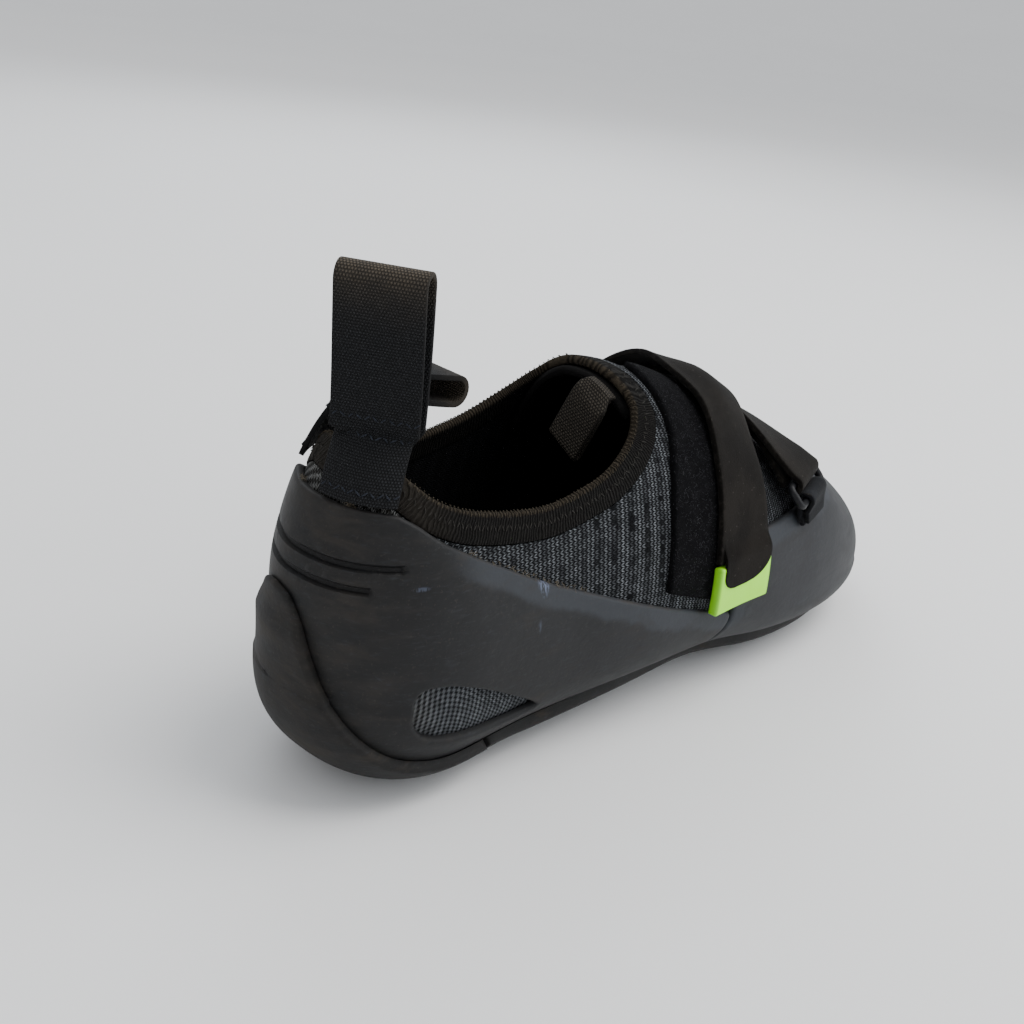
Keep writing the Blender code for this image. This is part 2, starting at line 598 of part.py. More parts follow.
def webbing_loop(name, front, back, centres, widths, offs, bulge):
    """A loop of webbing: up the front rows, round its end and down the back rows."""
    columns = np.linspace(-0.5, 0.5, len(front[0]))[:, None]
    up, down = [], []
    swell = 0.55 + 0.45 * np.sin(np.linspace(0.3, math.pi / 2, len(centres)))
    for centre, width, off, share in zip(centres, widths, offs, swell):
        row = centre + columns * width
        up.append(row + off * bulge * share)
        down.append(row - off * bulge * share)
    tangent = np.array(centres[-1]) - np.array(centres[-2])
    tangent /= np.linalg.norm(tangent)
    end = [centres[-1] + columns * widths[-1] + bulge * (math.cos(turn) * offs[-1] + math.sin(turn) * tangent)
           for turn in np.linspace(0, math.pi, 6)[1:-1]]
    return strip(name, front + up + end + down[::-1] + back, WEBBING_WALL, "webbing")


def build_pull_loops():
    """The two webbing loops that stand at the heel."""
    face = -(RAND_WALL + FIT_GAP) + (BAND_WALL - KNIT_WALL) / 2
    outer_lift = face + LOOP_CLEARANCE + WEBBING_WALL / 2
    inner_lift = face - BAND_WALL - LOOP_CLEARANCE - WEBBING_WALL / 2
    for name, (side, turn, shift, rise, bend, (forwards, inwards)) in PULL_LOOPS.items():
        turn = math.radians(turn)
        off = np.array((-math.cos(turn), side * math.sin(turn), 0.0))
        along = np.array((math.sin(turn), side * math.cos(turn), 0.0)) * side
        columns = 4
        shifts = np.linspace(-WEBBING_WIDTH / 2, WEBBING_WIDTH / 2, columns)[:, None] * along
        front, back = [], []
        for height in LOOP_HEIGHTS:
            sway = float(section(np.array(0.0))["sway"])
            starts = np.array((0.9 * HEEL_RUN, sway + shift, height * ANKLE_HEIGHT)) + shifts * 0.9
            points = cast(starts, off)
            front.append(level(points, outer_lift))
            back.append(level(points, inner_lift))
        foot = (front[-1] + back[-1]).mean(axis=0) / 2
        heading = np.array((forwards, inwards, 0.0))
        centres, widths, offs = [], [], []
        spot = foot + np.array((0, 0, WEBBING_WIDTH / 10))
        steps = 8
        for step in range(1, steps + 1):
            share = step / steps
            lean = math.radians(bend) * (3 * min(share / 0.6, 1) ** 2 - 2 * min(share / 0.6, 1) ** 3)
            way = -off * (1 - share) + heading * share
            way /= np.linalg.norm(way)
            tangent = math.cos(lean) * np.array((0, 0, 1.0)) + math.sin(lean) * way
            spot = spot + tangent * (rise * LOOP_RISE - 2 * LOOP_BULGE) / steps
            flat = along * (1 - share * abs(bend) / 110) + np.array((0, 1.0, 0)) * share * abs(bend) / 110
            flat /= np.linalg.norm(flat)
            out = np.cross(flat, tangent)
            out *= math.copysign(1.0, np.dot(out, off * math.cos(lean) + np.array((0, 0, 1.0)) * math.sin(lean)))
            centres.append(spot)
            widths.append(flat * WEBBING_WIDTH)
            offs.append(out / np.linalg.norm(out))
        webbing_loop("pull_loop_" + name, front, back[::-1], centres, widths, offs, LOOP_BULGE)


def build_tab(inside):
    """The short pull tab that hangs from the back edge of the tongue."""
    width = np.array(TAB_ACROSS) * TAB_WIDTH
    half = WEBBING_WALL / 2 + FIT_GAP
    under = inside - TONGUE_WALL / 2
    edge = TONGUE_REAR * LENGTH - FIT_GAP
    front, back = [], []
    columns = np.linspace(-0.5, 0.5, 3)
    for along in (edge, edge - TAB_SEWN):
        starts = np.array([(along, TAB_SIDE + width[1] * c, ANKLE_HEIGHT / 2) for c in columns])
        points = cast(starts, (0.0, 0.0, 1.0))
        front.append(level(points, under + half))
        back.append(level(points, under - half))
    foot = (front[-1] + back[-1]).mean(axis=0) / 2
    centres, widths, offs = [], [], []
    spot = foot - np.array((0, 0, LOOP_CLEARANCE))
    steps = 6
    for step in range(1, steps + 1):
        share = step / steps
        lean = math.radians(95.0) * min(share / 0.20, 1)
        tangent = math.cos(lean) * np.array((-1.0, 0, 0)) + math.sin(lean) * np.array(TAB_DOWN)
        spot = spot + tangent * TAB_DROP / steps
        out = np.cross(width, tangent)
        out *= math.copysign(1.0, np.dot(out, np.array((-math.sin(lean), 0, math.cos(lean)))))
        centres.append(spot)
        widths.append(width)
        offs.append(out / np.linalg.norm(out))
    webbing_loop("tongue_loop", front, back[::-1], centres, widths, offs, half * TAB_SWELL)


def finish_scene():
    """Puts the origin at the middle of the underside and flattens what stands on the floor."""
    floor = bmesh.new()
    bmesh.ops.create_cube(floor, size=1.0)
    bmesh.ops.scale(floor, vec=(1.0, 0.4, 0.02), verts=floor.verts)
    bmesh.ops.translate(floor, vec=(0.12, 0.0, -0.01), verts=floor.verts)
    ground = place("floor_cut", floor)
    for name in ("outsole", "heel_patch"):
        cut(bpy.data.objects[name], "DIFFERENCE", ground)
    parts = list(collection("climbing_shoe").objects)
    corners = np.array([vertex.co for part in parts for vertex in part.data.vertices])
    low, high = corners.min(axis=0), corners.max(axis=0)
    shift = Matrix.Translation((-(low[0] + high[0]) / 2, -(low[1] + high[1]) / 2, -low[2]))
    for part in parts:
        part.data.transform(shift)
        part.data.polygons.foreach_set("use_smooth", [True] * len(part.data.polygons))
        part.data.set_sharp_from_angle(angle=math.radians(35))


def main():
    for thing in list(bpy.data.objects):
        bpy.data.objects.remove(thing, do_unlink=True)
    for name, (colour, roughness, metallic) in MATERIALS.items():
        material = bpy.data.materials.new(name)
        material.use_nodes = True
        shader = material.node_tree.nodes["Principled BSDF"]
        shader.inputs["Base Color"].default_value = (*colour, 1.0)
        shader.inputs["Roughness"].default_value = roughness
        shader.inputs["Metallic"].default_value = metallic
    inside = build_upper()
    build_rubber()
    build_pad_and_tongue(inside)
    build_straps()
    build_rings()
    build_pull_loops()
    build_tab(inside)
    finish_scene()


main()
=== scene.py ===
"""Look of the right climbing shoe: knit sock, rubber rands and sole, folded strap and webbing loops.

Lengths are in metres. Shapes are worked out in the frame of the last, whose x runs from the heel at 0
to the toe, y to the inner side of the foot and z up from the floor, and are moved to the row's frame
when a piece is finished.
"""
from __future__ import annotations

import logging
import math
from dataclasses import dataclass, field
from enum import Enum
from typing import Callable, Iterator, Optional, Sequence, Union

import bmesh
import bpy
import numpy as np
from mathutils import Matrix, Vector


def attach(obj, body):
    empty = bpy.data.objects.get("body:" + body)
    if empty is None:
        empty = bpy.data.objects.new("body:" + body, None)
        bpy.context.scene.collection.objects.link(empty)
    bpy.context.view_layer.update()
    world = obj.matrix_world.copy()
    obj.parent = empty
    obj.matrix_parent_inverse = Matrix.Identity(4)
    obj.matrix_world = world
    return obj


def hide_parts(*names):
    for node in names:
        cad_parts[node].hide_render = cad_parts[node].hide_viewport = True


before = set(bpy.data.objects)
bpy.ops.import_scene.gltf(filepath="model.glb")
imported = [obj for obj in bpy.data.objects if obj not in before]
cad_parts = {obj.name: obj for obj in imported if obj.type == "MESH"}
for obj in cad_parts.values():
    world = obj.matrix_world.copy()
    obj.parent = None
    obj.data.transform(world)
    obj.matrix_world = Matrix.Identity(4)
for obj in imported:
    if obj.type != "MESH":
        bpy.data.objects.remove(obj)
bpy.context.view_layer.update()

LOG = logging.getLogger("climbing_shoe")
MM = 0.001
Array = np.ndarray
Piece = bpy.types.Object
Rows = Sequence[Sequence[float]]
Lift = Union[float, Array]
Measure = Callable[[Array], Array]


class Side(Enum):
    """The two sides of the foot, with their sign along y."""

    OUTER = -1.0
    INNER = 1.0


def through(rows: Rows, steps: int) -> Array:
    """Finds points on a smooth line through rows.

    Args:
        rows: points of a line, or rows of any number of columns.
        steps: points for each stretch between two rows.

    Returns:
        The points, a row each.
    """
    table = np.asarray(rows, float)
    slopes = np.gradient(table, axis=0)
    points = [table[0]]
    for here in range(len(table) - 1):
        for step in range(1, steps + 1):
            t = step / steps
            leaving = (2 * t ** 3 - 3 * t ** 2 + 1) * table[here] + (t ** 3 - 2 * t ** 2 + t) * slopes[here]
            coming = (3 * t ** 2 - 2 * t ** 3) * table[here + 1] + (t ** 3 - t ** 2) * slopes[here + 1]
            points.append(leaving + coming)
    return np.array(points)


def smooth(values: Array, low: float, high: float) -> Array:
    """Rises softly from 0 at low to 1 at high."""
    share = np.clip((values - low) / (high - low), 0.0, 1.0)
    return share * share * (3 - 2 * share)


def round_edge(distance: Array, radius: float) -> Array:
    """Gives the height of a rounded edge, from 0 at the edge to 1 at one radius from it."""
    share = np.clip(distance / radius, 0.0, 1.0)
    return np.sqrt(1 - (1 - share) ** 2)


def unit(way: Array) -> Array:
    """Scales a direction to a length of 1."""
    return way / np.linalg.norm(way)


def run_along(line: Array) -> Array:
    """Gives how far along a line each of its points is."""
    return np.concatenate([[0.0], np.cumsum(np.linalg.norm(np.diff(line, axis=0), axis=-1))])


def to_line(points: Array, line: Array) -> tuple[Array, Array]:
    """Measures flat points against a line of straight stretches.

    Args:
        points: the points, two columns.
        line: the line's points, two columns.

    Returns:
        The distance of each point from the line, and how far along the line its nearest place is.
    """
    best = np.full(len(points), np.inf)
    along = np.zeros(len(points))
    run = 0.0
    for start, end in zip(line, line[1:]):
        way = end - start
        length = float(np.hypot(*way))
        if length < 1e-9:
            continue
        share = np.clip(((points - start) @ way) / length ** 2, 0, 1)
        gap = np.hypot(*(points - start - share[:, None] * way).T)
        nearer = gap < best
        best = np.where(nearer, gap, best)
        along = np.where(nearer, run + share * length, along)
        run += length
    return best, along


def inside(points: Array, outline: Array) -> Array:
    """Finds which flat points lie inside a closed outline."""
    found = np.zeros(len(points), bool)
    for (ax, ay), (bx, by) in zip(outline, np.roll(outline, -1, axis=0)):
        crosses = (ay > points[:, 1]) != (by > points[:, 1])
        reach = (bx - ax) * (points[:, 1] - ay) / (by - ay if by != ay else 1e-12) + ax
        found ^= crosses & (points[:, 0] < reach)
    return found


def outside(points: Array, outline: Array) -> Array:
    """Gives the signed distance of flat points from a closed outline, below zero inside it."""
    closed = np.vstack([outline, outline[:1]])
    gap, _ = to_line(points, closed)
    return np.where(inside(points, outline), -gap, gap)


@dataclass(frozen=True)
class Last:
    """The form that the shoe is built on, with its sections as shares of its own sizes."""

    length: float = 0.2431
    ball_width: float = 0.0908
    ankle_height: float = 0.0980
    heel_run: float = 0.036
    toe_run: float = 0.066
    bluntness: float = 2.3
    heel_tuck: float = 0.0029
    tuck_span: tuple[float, float] = (0.340, 0.610)
    origin: tuple[float, float, float] = (-0.119863, -0.00054, 0.0)
    columns: tuple[str, ...] = ("along", "floor", "waist", "crown", "outer", "inner", "sway", "under", "over")
    sections: tuple[tuple[float, ...], ...] = (
        (0.000, 0.052, 0.316, 0.974, 0.325, 0.262, -0.052, 2.40, 2.20),
        (0.113, 0.023, 0.293, 1.000, 0.348, 0.325, -0.023, 2.50, 2.20),
        (0.236, 0.050, 0.302, 1.000, 0.372, 0.344, -0.015, 2.60, 2.20),
        (0.381, 0.080, 0.317, 0.970, 0.412, 0.351, -0.031, 2.80, 2.20),
        (0.504, 0.084, 0.296, 0.878, 0.439, 0.391, -0.023, 3.00, 2.20),
        (0.627, 0.058, 0.250, 0.720, 0.483, 0.446, -0.010, 3.15, 2.25),
        (0.750, 0.038, 0.215, 0.590, 0.504, 0.496, 0.019, 2.85, 2.30),
        (0.874, 0.040, 0.189, 0.455, 0.487, 0.468, 0.069, 2.75, 2.30),
        (1.000, 0.066, 0.174, 0.333, 0.417, 0.374, 0.155, 2.80, 2.30),
    )

    def section(self, along: Array) -> dict[str, Array]:
        """Reads the section table at shares of the length, in metres where a column is a length."""
        fine = through(self.sections, 12)
        at = {name: np.interp(along, fine[:, 0], fine[:, k]) for k, name in enumerate(self.columns)}
        for name in ("floor", "waist", "crown"):
            at[name] = at[name] * self.ankle_height
        for name in ("outer", "inner", "sway"):
            at[name] = at[name] * self.ball_width
        return at

    def depth(self, points: Array) -> Array:
        """Is below zero inside the last, zero on it and above zero outside."""
        x, y, z = points[..., 0], points[..., 1], points[..., 2]
        at = self.section(x / self.length)
        side = y - at["sway"]
        width = np.where(side < 0, at["outer"], at["inner"])
        above = z > at["waist"]
        height = np.where(above, at["crown"] - at["waist"], at["waist"] - at["floor"])
        square = np.where(above, at["over"], at["under"])
        ring = (np.abs(side) / width) ** square + (np.abs(z - at["waist"]) / height) ** square
        tuck = self.heel_tuck * smooth(z / self.ankle_height, *self.tuck_span)
        heel = np.clip((self.heel_run - x - tuck) / self.heel_run, 0, None) ** self.bluntness
        toe = np.clip((x - self.length + self.toe_run) / self.toe_run, 0, None) ** self.bluntness
        return ring + heel + toe - 1

    def cast(self, starts: Array, ways: Array, reach: float = 0.16) -> Array:
        """Finds where rays from inside meet the last.

        Args:
            starts: where the rays start.
            ways: their directions, of length 1.
            reach: how far they look.

        Returns:
            The points that they meet.
        """
        starts, ways = np.broadcast_arrays(np.asarray(starts, float), np.asarray(ways, float))
        near = np.zeros(starts.shape[:-1])
        far = np.full_like(near, reach)
        for _ in range(26):
            middle = (near + far) / 2
            within = self.depth(starts + ways * middle[..., None]) < 0
            near = np.where(within, middle, near)
            far = np.where(within, far, middle)
        return starts + ways * near[..., None]

    def out(self, points: Array) -> Array:
        """Gives the directions straight out of the last at its points."""
        step = 1e-5
        rises = [self.depth(points + step * axis) - self.depth(points - step * axis) for axis in np.eye(3)]
        slope = np.stack(rises, -1)
        return slope / np.linalg.norm(slope, axis=-1, keepdims=True)

    def lifted(self, points: Array, lift: Lift) -> Array:
        """Moves points of the last straight out by a lift."""
        return points + self.out(points) * np.asarray(lift)[..., None]

    def sway_at(self, x: float) -> float:
        """Gives the last's middle line across the foot, at a place along it."""
        return float(self.section(np.array(x / self.length))["sway"])

    def line(self, rows: Rows, steps: int = 6) -> Array:
        """Turns rows of a side-view line, shares of length and ankle height, into metres."""
        return through(rows, steps) * (self.length, self.ankle_height)

    def rings(self, counts: tuple[int, int, int], columns: int) -> Array:
        """Lays rings of points over the last, in fans at heel and toe.

        Args:
            counts: rings of the heel's fan, of the middle and of the toe's fan.
            columns: points of a ring, the first and the last at the same place.

        Returns:
            The points, by ring and column.
        """
        rear, front = self.heel_run / self.length, 1 - self.toe_run / self.length
        heel_turn = np.linspace(0, math.pi / 2, counts[0], endpoint=False)
        toe_turn = np.linspace(math.pi / 2, 0, counts[2] + 1)[1:]
        middle = np.linspace(rear, front, counts[1])
        along = np.concatenate([np.full(counts[0], rear), middle, np.full(counts[2], front)])
        turn = np.concatenate([heel_turn, np.full(counts[1], math.pi / 2), toe_turn])
        heading = np.concatenate([np.zeros(counts[0] + counts[1]), np.ones(counts[2])])
        at, tip = self.section(along), self.section(heading)
        height = at["waist"] + 0.15 * (at["crown"] - at["waist"])
        starts = np.stack([along * self.length, at["sway"], height], -1)
        axis = np.stack([heading * self.length, tip["sway"], tip["waist"]], -1) - starts
        angle = np.linspace(0, 2 * math.pi, columns)
        wide = np.sin(angle)[None, :] * at["outer"][:, None]
        tall = -np.cos(angle)[None, :] * (0.5 * (at["crown"] - at["floor"]))[:, None]
        across = np.stack([0 * wide, wide, tall], -1)
        ways = np.cos(turn)[:, None, None] * axis[:, None, :] + np.sin(turn)[:, None, None] * across
        ways /= np.linalg.norm(ways, axis=-1, keepdims=True)
        return self.cast(starts[:, None, :], ways)


@dataclass(frozen=True)
class ShoeLines:
    """Lines of the shoe in the side view, shares of length and of ankle height."""

    rim: tuple = ((-0.054, 0.885), (0.046, 0.885), (0.071, 0.837), (0.092, 0.792), (0.121, 0.759),
                  (0.158, 0.735), (0.195, 0.720), (0.232, 0.716), (0.273, 0.735), (0.310, 0.765),
                  (0.347, 0.821), (0.372, 0.878), (0.382, 0.930), (0.384, 1.100))
    rand: tuple = ((-0.054, 0.770), (0.040, 0.767), (0.063, 0.750), (0.092, 0.697), (0.152, 0.617),
                   (0.227, 0.523), (0.343, 0.406), (0.429, 0.330), (0.516, 0.262))
    seam: tuple = ((0.516, 0.262), (0.515, 0.235), (0.509, 0.209), (0.503, 0.160), (0.501, -0.080))
    toe: tuple = ((0.516, 0.262), (0.518, 0.300), (0.535, 0.410), (0.555, 0.480), (0.592, 0.500),
                  (0.652, 0.510), (0.722, 0.515), (0.773, 0.535), (0.801, 0.580), (0.813, 0.700))
    window: tuple = ((0.064, 0.310), (0.072, 0.348), (0.106, 0.342), (0.155, 0.290), (0.217, 0.200),
                     (0.221, 0.176), (0.181, 0.172), (0.116, 0.188), (0.080, 0.212), (0.065, 0.258))
    pad: tuple = ((0.390, 0.405), (0.395, 0.660), (0.413, 0.815), (0.443, 0.960), (0.572, 0.960),
                  (0.543, 0.620), (0.527, 0.500), (0.508, 0.300))
    sole: tuple = ((0.1755, 0.110), (0.300, 0.122), (0.443, 0.120), (0.602, 0.098), (0.761, 0.080),
                   (0.881, 0.086), (0.960, 0.100), (1.060, 0.125))
    patch: tuple = ((0.000, 0.553), (0.055, 0.540), (0.098, 0.490), (0.125, 0.420), (0.160, 0.345),
                    (0.215, 0.275), (0.262, 0.205), (0.300, 0.140), (0.350, 0.110), (0.600, 0.105))
    patch_reach: float = 0.175
    groove_rows: tuple = ((0.650, 0.050), (0.600, 0.024))


@dataclass(frozen=True)
class Walls:
    """Thickness of each layer, and the gap between layers."""

    rand: float = 2.0 * MM
    knit: float = 1.8 * MM
    band: float = 2.6 * MM
    sole: float = 4.0 * MM
    patch: float = 2.6 * MM
    insole: float = 2.5 * MM
    tongue: float = 2.6 * MM
    pad: float = 1.7 * MM
    strap: float = 1.6 * MM
    tip: float = 2.8 * MM
    webbing: float = 1.2 * MM
    gap: float = 0.3 * MM
    band_height: float = 7.5 * MM
    groove_width: float = 1.6 * MM
    groove_depth: float = 1.0 * MM
    feather_inset: float = 15.0 * MM

    @property
    def sock_top(self) -> float:
        """Gives the lift of the knit's outer face over the last."""
        return -(self.rand + self.gap)

    @property
    def band_middle(self) -> float:
        """Gives the lift of the elastic's middle, which is the knit's too."""
        return self.sock_top - self.knit / 2

    @property
    def band_face(self) -> float:
        """Gives the lift of the elastic's outer face."""
        return self.sock_top + (self.band - self.knit) / 2

    @property
    def tongue_top(self) -> float:
        """Gives the lift of the tongue's outer face, under the elastic."""
        return self.band_face - self.band - self.gap


# Shader maths


class Value:
    """A shader socket that takes Python's arithmetic, each step a Math node."""

    def __init__(self, tree: bpy.types.NodeTree, socket: bpy.types.NodeSocket) -> None:
        self.tree = tree
        self.socket = socket

    def math(self, operation: str, *others: Union["Value", float], clamp: bool = False) -> "Value":
        """Adds a Math node whose first value is this one.

        Args:
            operation: the Math node's operation.
            others: its further values.
            clamp: whether the result is kept from 0 to 1.

        Returns:
            The node's result.
        """
        return _math(self.tree, operation, (self, *others), clamp)

    def __add__(self, other: Union["Value", float]) -> "Value":
        """Adds."""
        return self.math("ADD", other)

    def __radd__(self, other: float) -> "Value":
        """Adds to a number."""
        return _math(self.tree, "ADD", (other, self))

    def __sub__(self, other: Union["Value", float]) -> "Value":
        """Takes away."""
        return self.math("SUBTRACT", other)

    def __rsub__(self, other: float) -> "Value":
        """Takes this from a number."""
        return _math(self.tree, "SUBTRACT", (other, self))

    def __mul__(self, other: Union["Value", float]) -> "Value":
        """Multiplies."""
        return self.math("MULTIPLY", other)

    def __rmul__(self, other: float) -> "Value":
        """Multiplies a number."""
        return _math(self.tree, "MULTIPLY", (other, self))

    def __truediv__(self, other: Union["Value", float]) -> "Value":
        """Divides."""
        return self.math("DIVIDE", other)

    def fraction(self) -> "Value":
        """Leaves what is past the whole number."""
        return self.math("FRACT")

    def whole(self) -> "Value":
        """Leaves the whole number below."""
        return self.math("FLOOR")

    def size(self) -> "Value":
        """Drops the sign."""
        return self.math("ABSOLUTE")

    def wave(self) -> "Value":
        """Gives a sine wave of period 1, from 0 to 1."""
        return (self * (2 * math.pi)).math("SINE") * 0.5 + 0.5

    def ramp(self, low: float, high: float) -> "Value":
        """Rises softly from 0 at low to 1 at high, or falls where high is the lower."""
        nodes = self.tree.nodes
        node = nodes.new("ShaderNodeMapRange")
        node.interpolation_type = "SMOOTHSTEP"
        self.tree.links.new(self.socket, node.inputs["Value"])
        turned = high < low
        node.inputs["From Min"].default_value = min(low, high)
        node.inputs["From Max"].default_value = max(low, high)
        node.inputs["To Min"].default_value = 1.0 if turned else 0.0
        node.inputs["To Max"].default_value = 0.0 if turned else 1.0
        return Value(self.tree, node.outputs["Result"])

    def held(self) -> "Value":
        """Keeps the value from 0 to 1."""
        return self.math("ADD", 0.0, clamp=True)


def _math(tree: bpy.types.NodeTree, operation: str, values: Sequence[Union[Value, float]],
          clamp: bool = False) -> Value:
    """Adds a Math node to a tree.

    Args:
        tree: the material's nodes.
        operation: the Math node's operation.
        values: links or numbers for its sockets.
        clamp: whether the result is kept from 0 to 1.

    Returns:
        The node's result.
    """
    node = tree.nodes.new("ShaderNodeMath")
    node.operation = operation
    node.use_clamp = clamp
    for socket, value in zip(node.inputs, values):
        if isinstance(value, Value):
            tree.links.new(value.socket, socket)
        else:
            socket.default_value = value
    return Value(tree, node.outputs[0])


Colour = tuple[float, float, float]
Paint = Union[Value, Colour]


def shaded(colour: Colour, share: float) -> Colour:
    """Multiplies a colour by a share."""
    return tuple(share * part for part in colour)


class Finish:
    """A material under construction, with the nodes that the finishes share."""

    def __init__(self, name: str) -> None:
        self.material = bpy.data.materials.new(name)
        self.material.use_nodes = True
        self.tree = self.material.node_tree
        self.shader = self.tree.nodes["Principled BSDF"]

    def node(self, kind: str, settings: Optional[dict] = None,
             sockets: Optional[dict] = None) -> bpy.types.Node:
        """Adds a node.

        Args:
            kind: the node's type.
            settings: its properties, set first.
            sockets: values or links of its inputs, by name or number.

        Returns:
            The node.
        """
        made = self.tree.nodes.new(kind)
        for name, value in (settings or {}).items():
            setattr(made, name, value)
        for name, value in (sockets or {}).items():
            if isinstance(value, Value):
                self.tree.links.new(value.socket, made.inputs[name])
            elif isinstance(value, tuple) and len(value) == 3 and made.inputs[name].type == "RGBA":
                made.inputs[name].default_value = (*value, 1.0)
            else:
                made.inputs[name].default_value = value
        return made

    def place(self) -> Value:
        """Gives the object's own coordinates."""
        return Value(self.tree, self.node("ShaderNodeTexCoord").outputs["Object"])

    def chart(self) -> Value:
        """Gives the piece's UV map, in metres."""
        return Value(self.tree, self.node("ShaderNodeUVMap", {"uv_map": "chart"}).outputs["UV"])

    def attribute(self, name: str) -> Value:
        """Gives a number that the mesh carries at its points."""
        return Value(self.tree, self.node("ShaderNodeAttribute", {"attribute_name": name}).outputs["Fac"])

    def parts(self, vector: Value) -> tuple[Value, Value, Value]:
        """Splits a vector in three."""
        made = self.node("ShaderNodeSeparateXYZ", sockets={0: vector})
        return tuple(Value(self.tree, made.outputs[k]) for k in range(3))

    def joined(self, x: Union[Value, float], y: Union[Value, float], z: Union[Value, float] = 0.0) -> Value:
        """Makes a vector of three numbers."""
        return Value(self.tree, self.node("ShaderNodeCombineXYZ", sockets={0: x, 1: y, 2: z}).outputs[0])

    def noise(self, vector: Value, scale: float, detail: float = 2.0, rough: float = 0.5,
              warp: float = 0.0) -> Value:
        """Gives soft noise from about 0.2 to 0.8."""
        made = self.node("ShaderNodeTexNoise", sockets={"Vector": vector, "Scale": scale, "Detail": detail,
                                                        "Roughness": rough, "Distortion": warp})
        return Value(self.tree, made.outputs[0])

    def speckle(self, vector: Value) -> Value:
        """Gives a number from 0 to 1 that differs for each vector."""
        made = self.node("ShaderNodeTexWhiteNoise", {"noise_dimensions": "3D"}, {"Vector": vector})
        return Value(self.tree, made.outputs["Value"])

    def stretched(self, vector: Value, shares: Colour) -> Value:
        """Multiplies a vector by three numbers."""
        made = self.node("ShaderNodeVectorMath", {"operation": "MULTIPLY"}, {0: vector, 1: shares})
        return Value(self.tree, made.outputs[0])

    def mix(self, share: Union[Value, float], low: Paint, high: Paint) -> Value:
        """Mixes two colours."""
        made = self.node("ShaderNodeMix", {"data_type": "RGBA"}, {0: share})
        for socket, value in ((made.inputs[6], low), (made.inputs[7], high)):
            if isinstance(value, Value):
                self.tree.links.new(value.socket, socket)
            else:
                socket.default_value = (*value, 1.0)
        return Value(self.tree, made.outputs[2])

    def nearness(self, place: Value, spot: Colour, reach: Colour) -> Value:
        """Gives 1 at a spot, falling softly to 0 at a reach along each axis."""
        away = self.node("ShaderNodeVectorMath", {"operation": "SUBTRACT"}, {0: place, 1: spot})
        scaled = self.stretched(Value(self.tree, away.outputs[0]), tuple(1 / r for r in reach))
        length = self.node("ShaderNodeVectorMath", {"operation": "LENGTH"}, {0: scaled})
        return Value(self.tree, length.outputs["Value"]).ramp(1.0, 0.35)

    def bump(self, height: Value, depth: float, below: Optional[Value] = None) -> Value:
        """Turns a height from 0 to 1 into a normal.

        Args:
            height: the height.
            depth: its full height in metres.
            below: a normal that it adds to.

        Returns:
            The normal.
        """
        sockets = {"Height": height, "Distance": depth, "Strength": 1.0}
        if below:
            sockets["Normal"] = below
        return Value(self.tree, self.node("ShaderNodeBump", sockets=sockets).outputs[0])

    def done(self, colour: Paint, roughness: Union[Value, float], normal: Optional[Value] = None,
             fixed: Optional[dict] = None) -> bpy.types.Material:
        """Joins the results to the shader.

        Args:
            colour: the base colour.
            roughness: the roughness.
            normal: the normal, if it isn't the mesh's own.
            fixed: other sockets that are the same all over.

        Returns:
            The material.
        """
        for name, value in (("Base Color", colour), ("Roughness", roughness), ("Normal", normal)):
            if isinstance(value, Value):
                self.tree.links.new(value.socket, self.shader.inputs[name])
            elif value is not None:
                self.shader.inputs[name].default_value = (*value, 1.0) if isinstance(value, tuple) else value
        for name, value in (fixed or {}).items():
            self.shader.inputs[name].default_value = value
        return self.material


